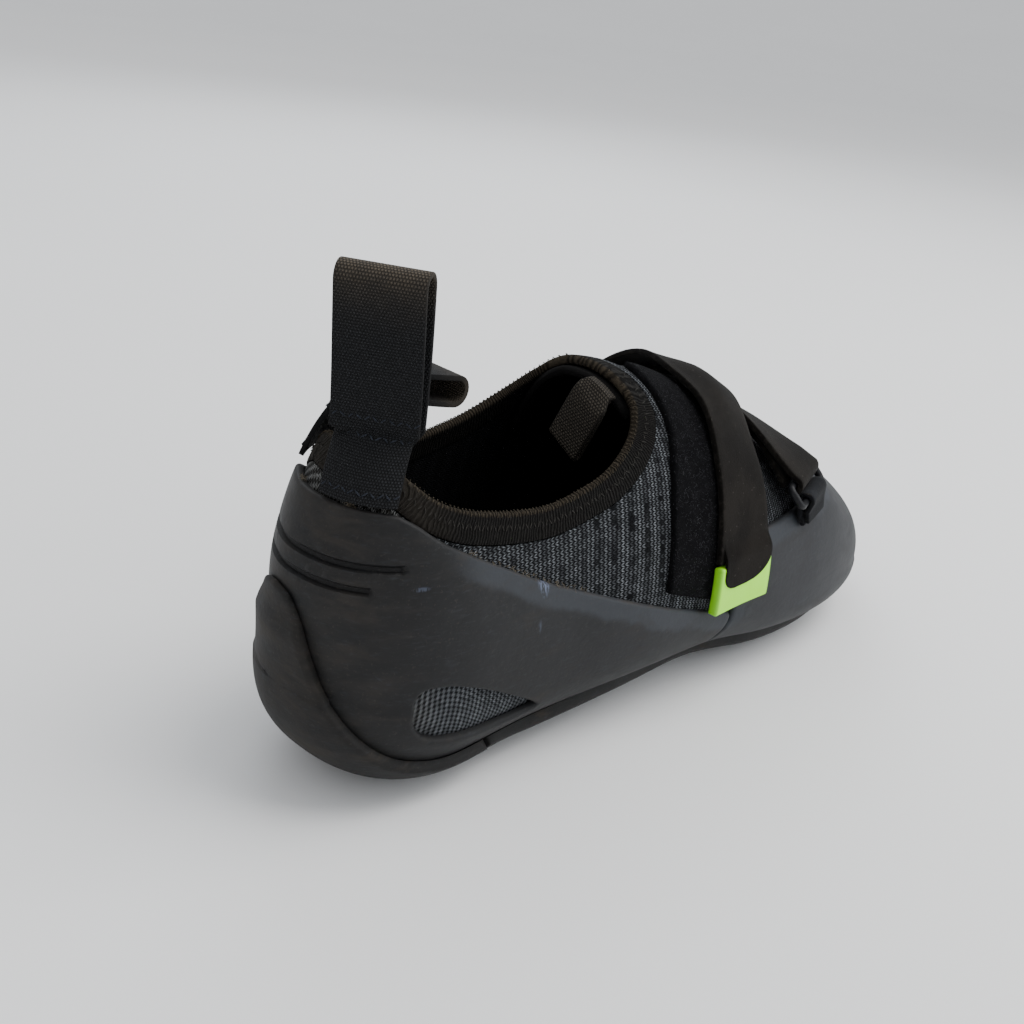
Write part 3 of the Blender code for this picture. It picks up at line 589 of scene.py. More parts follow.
@dataclass(frozen=True)
class Rubber:
    """Worn black rubber with dust and scuffs, a painted highlight along its skived edge and painted shade
    that darkens it towards the heel.
    """

    name: str
    base: Colour = (0.0085, 0.0088, 0.0100)
    # Colour of the painted highlight along the skived edge; scuffs and grain lines reuse it.
    skive_highlight: Colour = (0.026, 0.030, 0.037)
    dust: Colour = (0.036, 0.030, 0.024)
    scratch: Colour = (0.100, 0.120, 0.180)
    scratches: tuple[tuple[Colour, Colour, float], ...] = (
        ((-0.0682, -0.0337, 0.0530), (2.6 * MM, 5.0 * MM, 4.6 * MM), 1.0),
        ((-0.1042, -0.0287, 0.0594), (2.4 * MM, 3.0 * MM, 0.7 * MM), 0.35),
        ((-0.0700, -0.0337, 0.0420), (0.9 * MM, 3.0 * MM, 2.6 * MM), 0.30),
    )
    brown_heel: float = 0.6
    skive_width: float = 6.5 * MM
    roughness: float = 0.60
    dustiness: float = 0.25

    def material(self) -> bpy.types.Material:
        """Makes the material."""
        f = Finish(self.name)
        place = f.place()
        x, y, z = f.parts(place)
        cloud = f.noise(place, 26.0, 5.0, 0.6)
        fine = f.noise(place, 900.0, 3.0, 0.6)
        smear = f.noise(f.stretched(place, (1.0, 1.0, 3.0)), 75.0, 4.0, 0.62, 0.4)
        edge = f.attribute("edge")
        # Random tone from cloud and smear, plus painted shade: darker towards the heel and lighter towards
        # the toe, mixed between a shaded and a lit copy of the base colour.
        shade = (x.ramp(-0.115, 0.010) * 0.75 + (cloud - 0.5) * 1.3 + (smear - 0.5) * 0.5).held()
        colour = f.mix(shade, shaded(self.base, 0.50), shaded(self.base, 1.75))
        heel = x.ramp(-0.085, -0.117) * y.ramp(-0.034, -0.016)
        colour = f.mix((heel * self.brown_heel * smear.ramp(0.30, 0.70) * 0.55).held(), colour, self.dust)
        # Painted highlight: a lighter, bluish band along the skived top edge, where the bevel would catch the
        # light.
        wander = edge + (f.noise(place, 110.0, 3.0, 0.6) - 0.5) * (5.0 * MM)
        band = wander.ramp(self.skive_width, self.skive_width - 2.4 * MM) * f.attribute("skive_highlight")
        colour = f.mix((band * (0.45 + 0.6 * cloud)).held(), colour, self.skive_highlight)
        low = z.ramp(0.030, 0.004)
        dusty = (smear.ramp(0.52, 0.74) * (self.dustiness + low * 0.35)).held()
        colour = f.mix(dusty, colour, self.dust)
        pale = f.noise(f.stretched(place, (0.35, 1.0, 1.0)), 190.0, 2.0, 0.5, 1.2)
        scuff = pale.ramp(0.66, 0.70) * cloud.ramp(0.50, 0.62)
        # Scuffs, in the pale colour of the painted highlight.
        colour = f.mix((scuff * 0.30).held(), colour, self.skive_highlight)
        streak = f.noise(f.stretched(place, (1.0, 1.0, 0.16)), 1500.0, 2.0, 0.6)
        for spot, reach, strength in self.scratches:
            near = f.nearness(place, spot, reach) * streak.ramp(0.44, 0.56) * strength
            colour = f.mix(near.held(), colour, self.scratch)
        grain = f.noise(f.stretched(place, (0.25, 0.25, 1.0)), 1300.0, 3.0, 0.65)
        # Fine grain lines, in the same pale colour.
        colour = f.mix((grain.ramp(0.52, 0.80) * 0.35).held(), colour, self.skive_highlight)
        # Painted shade in the grooves.
        colour = f.mix((f.attribute("groove") * 0.85).held(), colour, shaded(self.base, 0.25))
        rim = edge.ramp(0.9 * MM, 0.1 * MM) * f.attribute("skive_highlight")
        colour = f.mix((rim * smear.ramp(0.35, 0.65) * 0.6).held(), colour, self.dust)
        speck = f.noise(place, 1500.0, 1.0)
        colour = f.mix((speck.ramp(0.66, 0.72) * 0.30).held(), colour, self.dust)
        rough = self.roughness + 0.16 * (smear - 0.5) + 0.20 * dusty
        normal = f.bump(fine, 0.05 * MM, f.bump(cloud + 0.25 * smear, 0.55 * MM))
        return f.done(colour, rough, normal, {"Specular IOR Level": 0.28})


@dataclass(frozen=True)
class Knit:
    """Black and grey melange knit with wales along the foot."""

    name: str
    dark: Colour = (0.0035, 0.0040, 0.0048)
    light: Colour = (0.225, 0.240, 0.258)
    back: Colour = (0.0048, 0.0048, 0.0054)
    heel_dark: Colour = (0.02, 0.017, 0.012)
    heel_light: Colour = (0.24, 0.22, 0.18)
    wale: float = 1.30 * MM
    course: float = 1.42 * MM
    rib: float = 5.6 * MM

    def material(self) -> bpy.types.Material:
        """Makes the material."""
        f = Finish(self.name)
        place = f.place()
        x, _, z = f.parts(place)
        across, along, _ = f.parts(f.chart())
        wobble = f.noise(place, 60.0, 2.0) - 0.5
        b = across / self.wale + wobble * 0.9
        a = along / self.course + wobble * 1.1
        lane = b.fraction()
        slant = (lane - 0.5).size()
        stitch = a - slant * 1.25
        thread = (stitch.fraction() - 0.5).size()
        height = thread.ramp(0.42, 0.10) * slant.ramp(0.50, 0.36) * (0.35 + 0.65 * slant.ramp(0.02, 0.16))
        cell = f.joined(stitch.whole(), b.whole())
        chance = f.speckle(cell)
        rib = (along / self.rib + wobble * 0.5).wave()
        strong = x.ramp(-0.062, -0.040) * x.ramp(0.004, -0.004)
        heel = x.ramp(-0.095, -0.108)
        blotch = f.noise(place, 130.0, 2.0)
        window = z.ramp(0.040, 0.032)
        ribs = rib * (0.14 + 0.34 * strong) - 0.17 * strong
        fleck = (0.44 * chance + ribs + 0.34 * blotch - 0.04 + 0.30 * (heel + window)).held()
        shade = (fleck * height).held()
        colour = f.mix(shade, self.dark, self.light)
        colour = f.mix(heel * 0.35, colour, f.mix(height, self.heel_dark, self.heel_light))
        back = f.mix(rib * 0.6, self.back, shaded(self.back, 2.2))
        colour = f.mix(f.attribute("wall").held(), colour, back)
        hairs = f.noise(f.stretched(place, (1.0, 1.0, 0.3)), 2600.0, 2.0)
        normal = f.bump(hairs, 0.05 * MM, f.bump(height * (0.6 + 0.4 * rib), 0.55 * MM))
        return f.done(colour, 0.92, normal, {"Specular IOR Level": 0.10})


@dataclass(frozen=True)
class Band:
    """Ribbed elastic of the collar, dark brown, with brown overcast threads at its rim."""

    name: str
    dark: Colour = (0.0030, 0.0028, 0.0026)
    light: Colour = (0.0250, 0.0235, 0.0218)
    rim: Colour = (0.050, 0.040, 0.028)
    heel: Colour = (0.034, 0.029, 0.023)
    pitch: float = 0.80 * MM

    def material(self) -> bpy.types.Material:
        """Makes the material."""
        f = Finish(self.name)
        place = f.place()
        x, _, _ = f.parts(place)
        run, edge = f.attribute("run"), f.attribute("edge")
        wobble = f.noise(place, 220.0, 3.0) - 0.5
        rib = (run / self.pitch + wobble * 2.2 + edge * 160.0).wave()
        hairs = f.noise(f.joined(run * 2600.0, edge * 500.0), 1.0, 3.0, 0.7)
        shade = (rib * 0.60 + hairs.ramp(0.42, 0.80) * 0.55 - 0.20).held()
        colour = f.mix(shade, self.dark, self.light)
        rim = edge.ramp(1.5 * MM, 0.2 * MM)
        colour = f.mix((rim * (0.20 + rib * 0.60)).held(), colour, self.rim)
        heel = x.ramp(-0.090, -0.104)
        colour = f.mix((heel * 0.40 * (0.4 + hairs)).held(), colour, self.heel)
        normal = f.bump(hairs, 0.22 * MM, f.bump(rib, 0.28 * MM))
        return f.done(colour, 0.93, normal, {"Specular IOR Level": 0.08})


@dataclass(frozen=True)
class Webbing:
    """Coarse woven webbing, with a painted brown highlight along its fold."""

    name: str
    dark: Colour = (0.0035, 0.0035, 0.0040)
    light: Colour = (0.0270, 0.0285, 0.0320)
    # Colour of the painted highlight on the fold.
    fold_highlight: Colour = (0.105, 0.084, 0.060)
    pick: float = 0.72 * MM
    row: float = 0.66 * MM
    selvedge: float = 0.30 * MM

    def material(self) -> bpy.types.Material:
        """Makes the material."""
        f = Finish(self.name)
        place = f.place()
        across, along, _ = f.parts(f.chart())
        row = along / self.row
        line = row.whole()
        shifted = across / self.pick + line * 0.5
        bead = (shifted.fraction() - 0.5).size().ramp(0.50, 0.12)
        bead = bead * (row.fraction() - 0.5).size().ramp(0.52, 0.10)
        bead = bead * f.attribute("edge").ramp(0.1 * self.selvedge, self.selvedge)
        chance = f.speckle(f.joined(shifted.whole(), line))
        threads = f.noise(f.joined(across * 5200.0, along * 1300.0), 1.0, 2.0, 0.6)
        shade = (bead * (0.45 + 0.35 * chance) + (threads - 0.5) * 0.5 * bead).held()
        colour = f.mix(shade, self.dark, self.light)
        # Painted highlight along the rounded fold, where the webbing turns to the light.
        fold_highlight_mask = f.attribute("fold") * (0.25 + bead * 0.75) * (0.5 + f.noise(place, 300.0, 2.0))
        colour = f.mix(fold_highlight_mask.held(), colour, self.fold_highlight)
        normal = f.bump(threads, 0.05 * MM, f.bump(bead, 0.30 * MM))
        return f.done(colour, 0.80, normal, {"Specular IOR Level": 0.18})


@dataclass(frozen=True)
class Suede:
    """Flat microfibre of the strap, with a soft nap."""

    name: str
    dark: Colour = (0.0040, 0.0034, 0.0029)
    light: Colour = (0.0125, 0.0106, 0.0088)
    lint: Colour = (0.10, 0.09, 0.075)
    depth: float = 0.10 * MM

    def material(self) -> bpy.types.Material:
        """Makes the material."""
        f = Finish(self.name)
        place = f.place()
        nap = f.noise(place, 70.0, 3.0, 0.6, 0.3)
        fine = f.noise(place, 1700.0, 3.0, 0.7)
        edge = f.attribute("edge")
        colour = f.mix((nap.ramp(0.30, 0.72) * 0.75 + fine * 0.3).held(), self.dark, self.light)
        colour = f.mix(edge.ramp(1.0 * MM, 0.1 * MM) * 0.6, colour, shaded(self.dark, 0.5))
        colour = f.mix((f.noise(place, 1100.0, 1.0).ramp(0.72, 0.80) * 0.35).held(), colour, self.lint)
        frayed = edge.ramp(1.6 * MM, 0.3 * MM) * f.noise(place, 520.0, 3.0, 0.7).ramp(0.46, 0.66)
        colour = f.mix((frayed * 0.08).held(), colour, self.lint)
        normal = f.bump(fine, self.depth, f.bump(nap, 0.25 * MM))
        sheen = {"Sheen Weight": 0.03, "Sheen Roughness": 0.5}
        return f.done(colour, 0.94, normal, {"Specular IOR Level": 0.08, **sheen})


@dataclass(frozen=True)
class Pile:
    """Black looped pile of the closure, matted and dusty."""

    name: str
    dark: Colour = (0.0025, 0.0025, 0.0032)
    light: Colour = (0.042, 0.042, 0.047)
    dust: Colour = (0.12, 0.12, 0.13)

    def material(self) -> bpy.types.Material:
        """Makes the material."""
        f = Finish(self.name)
        place = f.place()
        curls = f.noise(place, 1400.0, 4.0, 0.8, 2.0)
        mat = f.noise(place, 220.0, 4.0, 0.6, 0.6)
        colour = f.mix((curls.ramp(0.45, 0.85) * mat.ramp(0.35, 0.75)).held(), self.dark, self.light)
        speck = f.noise(place, 1900.0, 1.0)
        colour = f.mix((speck.ramp(0.68, 0.76) * 0.30).held(), colour, self.dust)
        normal = f.bump(curls, 0.45 * MM, f.bump(mat, 0.6 * MM))
        return f.done(colour, 0.97, normal, {"Specular IOR Level": 0.08})


@dataclass(frozen=True)
class Lining:
    """Near-black inside cloth with faint ribs."""

    name: str
    dark: Colour = (0.0020, 0.0020, 0.0020)
    light: Colour = (0.0080, 0.0075, 0.0075)

    def material(self) -> bpy.types.Material:
        """Makes the material."""
        f = Finish(self.name)
        place = f.place()
        x, _, _ = f.parts(place)
        rib = (x / (2.2 * MM) + f.noise(place, 90.0, 2.0) * 1.2).wave()
        fine = f.noise(place, 1300.0, 3.0)
        colour = f.mix((rib * 0.5 + fine * 0.4).held(), self.dark, self.light)
        normal = f.bump(fine, 0.08 * MM, f.bump(rib, 0.25 * MM))
        return f.done(colour, 0.96, normal, {"Specular IOR Level": 0.08})


@dataclass(frozen=True)
class Moulding:
    """Smooth moulded plastic, a little scuffed and soiled."""

    name: str
    base: Colour
    soil: Colour
    roughness: float = 0.42
    gloss: float = 0.45
    soiling: float = 0.10

    def material(self) -> bpy.types.Material:
        """Makes the material."""
        f = Finish(self.name)
        place = f.place()
        cloud = f.noise(place, 180.0, 3.0)
        fine = f.noise(place, 1500.0, 2.0)
        edge = f.attribute("edge")
        colour = f.mix((cloud.ramp(0.45, 0.8) * self.soiling).held(), self.base, self.soil)
        colour = f.mix((edge.ramp(1.1 * MM, 0.2 * MM) * 0.55).held(), colour, self.soil)
        normal = f.bump(fine, 0.03 * MM)
        rough = self.roughness + 0.2 * (cloud - 0.5)
        return f.done(colour, rough, normal, {"Specular IOR Level": self.gloss})


@dataclass(frozen=True)
class Thread:
    """Sewing thread or loose fibre."""

    name: str
    base: Colour
    roughness: float = 0.85

    def material(self) -> bpy.types.Material:
        """Makes the material."""
        f = Finish(self.name)
        place = f.place()
        twist = f.noise(place, 2200.0, 2.0)
        colour = f.mix(twist.ramp(0.3, 0.7), shaded(self.base, 0.6), shaded(self.base, 1.3))
        return f.done(colour, self.roughness, f.bump(twist, 0.05 * MM), {"Specular IOR Level": 0.2})


class Materials:
    """All finishes of the shoe, each made once."""

    def __init__(self) -> None:
        self.heel_rubber = Rubber("heel rand rubber").material()
        self.toe_rubber = Rubber("toe rand rubber", base=(0.0095, 0.0102, 0.0120), brown_heel=0.0,
                                 dustiness=0.12).material()
        self.patch_rubber = Rubber("heel patch rubber", base=(0.0075, 0.0072, 0.0072), brown_heel=0.75,
                                   dustiness=0.5, roughness=0.68).material()
        self.sole_rubber = Rubber("sole rubber", base=(0.0080, 0.0078, 0.0078), brown_heel=0.3,
                                  dustiness=0.45, roughness=0.70).material()
        self.knit = Knit("melange knit").material()
        self.band = Band("ribbed collar elastic").material()
        self.webbing = Webbing("woven webbing").material()
        # The tab's fold also gets a painted highlight.
        self.tab = Webbing("herringbone tape", dark=(0.012, 0.010, 0.008), light=(0.085, 0.072, 0.056),
                           fold_highlight=(0.14, 0.12, 0.09), pick=0.9 * MM, row=0.7 * MM).material()
        self.suede = Suede("strap microfibre").material()
        self.holder = Suede("ring holder tape", dark=(0.0065, 0.0070, 0.0082),
                            light=(0.0150, 0.0162, 0.0190)).material()
        self.pile = Pile("loop pile").material()
        self.lining = Lining("inside lining").material()
        self.footbed = Lining("footbed", light=(0.0100, 0.0095, 0.0090)).material()
        self.lime = Moulding("pale lime moulding", (0.40, 1.0, 0.020), (0.13, 0.42, 0.008)).material()
        self.ring = Moulding("black ring plastic", (0.0028, 0.0030, 0.0036), (0.012, 0.012, 0.014),
                             gloss=0.18).material()
        self.rim_thread = Thread("brown overcast thread", (0.040, 0.032, 0.021)).material()
        self.zigzag_thread = Thread("grey brown thread", (0.026, 0.024, 0.021)).material()
        self.black_thread = Thread("black sewing thread", (0.019, 0.022, 0.030)).material()
        self.lint = Thread("grey lint", (0.045, 0.045, 0.050)).material()
        self.loose_pile = Thread("loose pile fibre", (0.024, 0.024, 0.028)).material()
        self.dust_fibre = Thread("dusty fibre", (0.15, 0.125, 0.09)).material()


# Meshes


def finished(name: str, mesh: bpy.types.Mesh, material: bpy.types.Material, nodes: Sequence[str] = (),
             angle: float = 40.0) -> Piece:
    """Makes a mesh a piece of the shoe.

    Args:
        name: the piece's name.
        mesh: its mesh, in the row's frame.
        material: its finish.
        nodes: the solids that it stands for.
        angle: edges sharper than this, in degrees, stay sharp.

    Returns:
        The piece.
    """
    mesh.materials.append(material)
    mesh.polygons.foreach_set("use_smooth", [True] * len(mesh.polygons))
    mesh.set_sharp_from_angle(angle=math.radians(angle))
    piece = bpy.data.objects.new(name, mesh)
    bpy.context.scene.collection.objects.link(piece)
    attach(piece, "root")
    if nodes:
        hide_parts(*nodes)
    LOG.info("%s: %d faces", name, len(mesh.polygons))
    return piece


class Skin:
    """A sheet over the last that is cut along measured lines and then given its wall."""

    def __init__(self, last: Last, counts: tuple[int, int, int] = (34, 92, 40), columns: int = 150) -> None:
        self.last = last
        points = last.rings(counts, columns + 1)
        rings = len(points)
        out = last.out(points)
        steps = np.linalg.norm(np.diff(points, axis=1), axis=-1)
        girth = np.concatenate([np.zeros((rings, 1)), np.cumsum(steps, axis=1)], axis=1)
        girth -= girth[:, columns // 2][:, None]
        spine = points[:, columns // 4]
        run = run_along(spine)
        self.mesh = bmesh.new()
        bmesh.ops.create_grid(self.mesh, x_segments=columns, y_segments=rings - 1, size=0.5)
        base = self.mesh.verts.layers.float_vector.new("base")
        way = self.mesh.verts.layers.float_vector.new("out")
        chart = self.mesh.loops.layers.uv.new("chart")
        places = {}
        for vertex in self.mesh.verts:
            i = round((vertex.co.x + 0.5) * columns)
            j = round((vertex.co.y + 0.5) * (rings - 1))
            places[vertex] = (j, i)
            vertex[base] = points[j, i]
            vertex[way] = out[j, i]
            vertex.co = points[j, i]
        for face in self.mesh.faces:
            for loop in face.loops:
                j, i = places[loop.vert]
                loop[chart].uv = (girth[j, i], run[j])
        self.base, self.way = base, way

    def places(self) -> Array:
        """Reads where the sheet's points lie on the last."""
        return np.array([vertex[self.base] for vertex in self.mesh.verts])

    def cut(self, measure: Measure, levels: Sequence[float] = (0.0,), keep: bool = False) -> "Skin":
        """Cuts the sheet along levels of a measure, and drops what lies above zero unless it is kept.

        Args:
            measure: gives a distance for each place, below zero where the sheet stays.
            levels: distances at which edges are laid, zero among them where the sheet ends.
            keep: whether nothing is dropped.

        Returns:
            The sheet.
        """
        for level in sorted(levels, reverse=True):
            places = self.places()
            values = measure(places)
            for vertex, spot, value in zip(self.mesh.verts, places, values):
                vertex.co = (spot[0], spot[1] + 0.3 * spot[2], value)
            geometry = self.mesh.verts[:] + self.mesh.edges[:] + self.mesh.faces[:]
            bmesh.ops.bisect_plane(self.mesh, geom=geometry, dist=0.03 * MM, plane_co=(0, 0, level),
                                   plane_no=(0, 0, 1), clear_outer=level == 0.0 and not keep)
        return self

    def piece(self, name: str, outer: Callable[[Array], Lift], inner: Callable[[Array], Lift],
              material: bpy.types.Material, nodes: Sequence[str], slot: str,
              marks: Optional[dict[str, Measure]] = None) -> Piece:
        """Gives the sheet its wall and makes it a piece.

        Args:
            name: the piece's name.
            outer: lift of the outer face over the last, for places on it.
            inner: lift of the inner face.
            material: the finish.
            nodes: the solids that it stands for.
            slot: the record's material slot; not used.
            marks: measures that the finish reads at the points, by name.

        Returns:
            The piece.
        """
        shape = self.mesh
        for vertex in shape.verts:
            vertex.co = vertex[self.base]
        bmesh.ops.remove_doubles(shape, verts=shape.verts, dist=0.002 * MM)
        bmesh.ops.recalc_face_normals(shape, faces=shape.faces)
        tester = next(face for face in shape.faces if face.calc_area() > 1e-9)
        if tester.normal.dot(tester.verts[0][self.way]) < 0:
            bmesh.ops.reverse_faces(shape, faces=shape.faces)
        near = shape.verts.layers.int.new("near")
        before = set(shape.verts)
        bmesh.ops.solidify(shape, geom=shape.faces[:], thickness=1.0 * MM)
        for vertex in shape.verts:
            vertex[near] = 0 if vertex in before else 1
        mesh = bpy.data.meshes.new(name)
        shape.to_mesh(mesh)
        shape.free()
        count = len(mesh.vertices)
        places, out, inward = np.zeros(count * 3), np.zeros(count * 3), np.zeros(count, np.int32)
        mesh.attributes["base"].data.foreach_get("vector", places)
        mesh.attributes["out"].data.foreach_get("vector", out)
        mesh.attributes["near"].data.foreach_get("value", inward)
        places, out = places.reshape(-1, 3), out.reshape(-1, 3)
        ups, downs = np.broadcast_to(outer(places), count), np.broadcast_to(inner(places), count)
        spots = np.zeros(count * 3)
        mesh.vertices.foreach_get("co", spots)
        moved = np.einsum("ij,ij->i", spots.reshape(-1, 3) - places, out)
        if inward.sum() in (0, count):
            lower = moved < moved.mean()
        else:
            lower = inward == int(moved[inward == 1].mean() < moved[inward == 0].mean())
        lift = np.where(lower, downs, ups)
        mesh.vertices.foreach_set("co", (places + out * lift[:, None] + np.array(self.last.origin)).ravel())
        mesh.attributes.new("wall", "FLOAT", "POINT").data.foreach_set("value", lower.astype(np.float32))
        for mark, measure in (marks or {}).items():
            made = mesh.attributes.new(mark, "FLOAT", "POINT")
            made.data.foreach_set("value", np.broadcast_to(measure(places), count).astype(np.float32))
        for spare in ("base", "out", "near"):
            mesh.attributes.remove(mesh.attributes[spare])
        mesh.update()
        return finished(name, mesh, material, nodes)


def tape(name: str, rows: Sequence[Array], wall: float, side: float, material: bpy.types.Material,
         nodes: Sequence[str], last: Last, rounding: float = 0.35 * MM,
         marks: Optional[dict[str, Array]] = None) -> Piece:
    """Makes a strap, tape or sheet from rows of points.

    Args:
        name: the piece's name.
        rows: points by row and column, in the last's frame.
        wall: the thickness.
        side: where the wall goes: 1 to the side of the faces' normals, 0 to both, -1 against them.
        material: the finish.
        nodes: the solids that it stands for.
        last: the last, for its origin.
        rounding: the radius of the edges.
        marks: numbers that the finish reads, by name, for each row and column.

    Returns:
        The piece.
    """
    rows = np.asarray(rows)
    count, columns = rows.shape[:2]
    shape = bmesh.new()
    bmesh.ops.create_grid(shape, x_segments=columns - 1, y_segments=count - 1, size=0.5)
    chart = shape.loops.layers.uv.new("chart")
    layers = {mark: shape.verts.layers.float.new(mark) for mark in (marks or {})}
    run = run_along(rows[:, columns // 2])
    across = run_along(rows[count // 2])
    edge_layer = shape.verts.layers.float.new("edge")
    places = {}
    for vertex in shape.verts:
        i = round((vertex.co.x + 0.5) * (columns - 1))
        j = round((vertex.co.y + 0.5) * (count - 1))
        places[vertex] = (j, i)
        vertex[edge_layer] = min(across[i], across[-1] - across[i])
        for mark, layer in layers.items():
            vertex[layer] = float(marks[mark][j, i])
    for vertex, (j, i) in places.items():
        vertex.co = rows[j, i] + np.array(last.origin)
    for face in shape.faces:
        for loop in face.loops:
            j, i = places[loop.vert]
            loop[chart].uv = (across[i], run[j])
    mesh = bpy.data.meshes.new(name)
    shape.to_mesh(mesh)
    shape.free()
    piece = finished(name, mesh, material, nodes, 60.0)
    solid = piece.modifiers.new("wall", "SOLIDIFY")
    solid.thickness = wall
    solid.offset = side
    solid.use_even_offset = True
    bevel = piece.modifiers.new("edge", "BEVEL")
    bevel.width = rounding
    bevel.segments = 2
    bevel.limit_method = "ANGLE"
    bevel.angle_limit = math.radians(50)
    return piece


@dataclass
class ShoePart:
    """What each part of the shoe is built from."""

    last: Last
    lines: ShoeLines
    walls: Walls
    paints: Materials


@dataclass
class Upper(ShoePart):
    """The knit sock with its collar elastic, tongue and footbed."""

    tongue_rear: float = 0.375
    tongue_front: float = 0.640
    tongue_width: float = 48.0 * MM
    footbed_span: tuple[float, float] = (0.070, 0.945)
    footbed_inset: float = 12.0 * MM
    feather_top: float = 22.0 * MM
    feather_span: tuple[float, float] = (0.09, 0.90)
    pull_rows: tuple[tuple[float, float, float], ...] = (
        (0.098, 0.10, 0.35 * MM), (0.108, 0.06, -0.35 * MM), (0.117, 0.02, 0.30 * MM),
        (0.150, -0.20, -0.30 * MM), (0.162, -0.25, 0.30 * MM))
    rim_pitch: float = 1.15 * MM
    zigzag_depth: float = 3.6 * MM
    zigzag_pitch: float = 1.25 * MM

    def rim(self) -> Array:
        """Gives the rim in the side view."""
        return self.last.line(self.lines.rim, 8)

    def below_rim(self, places: Array) -> Array:
        """Measures from the rim, below zero under it."""
        rim = self.rim()
        outline = np.vstack([rim, [[0.4, rim[-1][1]], [0.4, -0.1], [rim[0][0], -0.1]]])
        gap, _ = to_line(places[:, [0, 2]], rim)
        return np.where(inside(places[:, [0, 2]], outline), -gap, gap)

    def knit(self) -> Piece:
        """Builds the sock from the collar elastic down, open at the collar and underneath."""
        walls, last = self.walls, self.last
        top = walls.sock_top

        def under(places: Array) -> Array:
            at = last.section(places[:, 0] / last.length)
            side = places[:, 1] - at["sway"]
            half = np.where(side < 0, at["outer"], at["inner"]) - walls.feather_inset
            rear, front = self.feather_span
            within = np.maximum.reduce([np.abs(side) - half, places[:, 2] - self.feather_top,
                                        rear * last.length - places[:, 0],
                                        places[:, 0] - front * last.length])
            return -within

        skin = Skin(last)
        skin.cut(lambda p: self.below_rim(p) + walls.band_height + 0.5 * walls.gap, (0.0, -0.8 * MM))
        skin.cut(under)
        pulls = self.pulls
        return skin.piece("knit_sock", lambda p: top + pulls(p), lambda p: top - walls.knit,
                          self.paints.knit, ["upper"], "knit")

    def pulls(self, places: Array) -> Array:
        """Gives the soft ridges where the knit is drawn towards the strap."""
        x, _, z = places.T
        lift = np.zeros(len(places))
        for start, slope, height in self.pull_rows:
            away = x - start - slope * (z - 0.050)
            lift += height * np.exp(-(away / (3.0 * MM)) ** 2) * smooth(z, 0.030, 0.050)
        return lift

    def collar(self) -> Piece:
        """Builds the thick elastic round the collar, its rim rolled over."""
        walls = self.walls
        middle, half = walls.band_middle, walls.band / 2
        rim = self.rim()

        def swell(places: Array) -> Array:
            depth = -self.below_rim(places)
            foot = walls.band_height - depth
            return half * round_edge(depth, 1.4 * MM) * (0.72 + 0.28 * round_edge(foot, 1.2 * MM))

        def run(places: Array) -> Array:
            _, along = to_line(places[:, [0, 2]], rim)
            return along + 0.6 * np.abs(places[:, 1]) * smooth(places[:, 2], 0.078, 0.092)

        skin = Skin(self.last, (44, 110, 8), 190)
        skin.cut(self.below_rim, (0.0, -0.25 * MM, -0.7 * MM, -1.4 * MM))
        foot_line: Measure = lambda p: -(self.below_rim(p) + walls.band_height - 0.5 * walls.gap)
        skin.cut(foot_line, (0.0, -0.4 * MM, -1.2 * MM))
        return skin.piece("collar_rib", lambda p: middle + swell(p), lambda p: middle - swell(p),
                          self.paints.band, ["collar_band"], "band",
                          {"run": run, "edge": lambda p: -self.below_rim(p)})

    def followed(self, line: Array, start: float, spare: float, pitch: float) -> Iterator[tuple]:
        """Follows a side-view line along both sides of the foot.

        Args:
            line: the line.
            start: how far along it the first place is.
            spare: how much of its end stays free.
            pitch: the distance from place to place.

        Yields:
            The place's number, its point on the last, the way out of the last and the way ahead.
        """
        last = self.last
        steps = np.concatenate([[0.0], np.cumsum(np.hypot(*np.diff(line, axis=0).T))])
        for side in Side:
            for number, run in enumerate(np.arange(start, steps[-1] - spare, pitch)):
                x, z = (np.interp(run, steps, line[:, k]) for k in (0, 1))
                ahead = np.array((np.interp(run + MM, steps, line[:, 0]) - x, 0.0,
                                  np.interp(run + MM, steps, line[:, 1]) - z))
                middle = np.array((x, last.sway_at(x), z))
                if last.depth(middle[None])[0] > -0.02:
                    continue
                point = last.cast(middle, (0.0, side.value, 0.0))
                yield number, point, last.out(point), unit(ahead)

    def rim_threads(self) -> Piece:
        """Lays the overcast stitches across the rim."""
        rim = self.rim()
        rim = rim[(rim[:, 0] > 0.004) & (rim[:, 1] < 0.0985)]
        spots: list[Array] = []
        ways: list[Array] = []
        rng = np.random.default_rng(7)
        for _, point, out, slope in self.followed(rim, 0.6 * MM, 0.0, self.rim_pitch):
            up = np.cross(out, slope)
            up *= math.copysign(1.0, float(up[2]))
            for turn in (0.15, 1.05):
                lean = turn + rng.uniform(-0.15, 0.15)
                bent = out * math.cos(lean) + up * math.sin(lean)
                spots.append(point + out * self.walls.band_middle - up * MM + bent * 1.28 * MM)
                ways.append(up * math.cos(lean) - out * math.sin(lean) + slope * rng.uniform(0.1, 0.5))
        return stitches("collar_rim_threads", spots, ways, 0.52 * MM, 0.17 * MM, self.paints.rim_thread,
                        self.last)

    def zigzag(self) -> Piece:
        """Sews a zigzag round the collar, a little under its rim."""
        rim = self.rim()
        slope = np.gradient(rim, axis=0)
        slope /= np.linalg.norm(slope, axis=1)[:, None]
        line = rim + np.stack([slope[:, 1], -slope[:, 0]], -1) * self.zigzag_depth
        line = line[(line[:, 0] > 0.006) & (line[:, 1] < 0.0960)]
        line = line[np.concatenate([[True], np.diff(line[:, 0]) > 0.05 * MM])]
        spots: list[Array] = []
        ways: list[Array] = []
        for number, point, out, ahead in self.followed(line, 1.0 * MM, 1.0 * MM, self.zigzag_pitch):
            spots.append(point + out * (self.walls.band_face + 0.05 * MM))
            ways.append(ahead * 0.55 + np.cross(out, ahead) * (1.0 if number % 2 else -1.0))
        return stitches("collar_zigzag_threads", spots, ways, 0.95 * MM, 0.15 * MM, self.paints.zigzag_thread,
                        self.last)

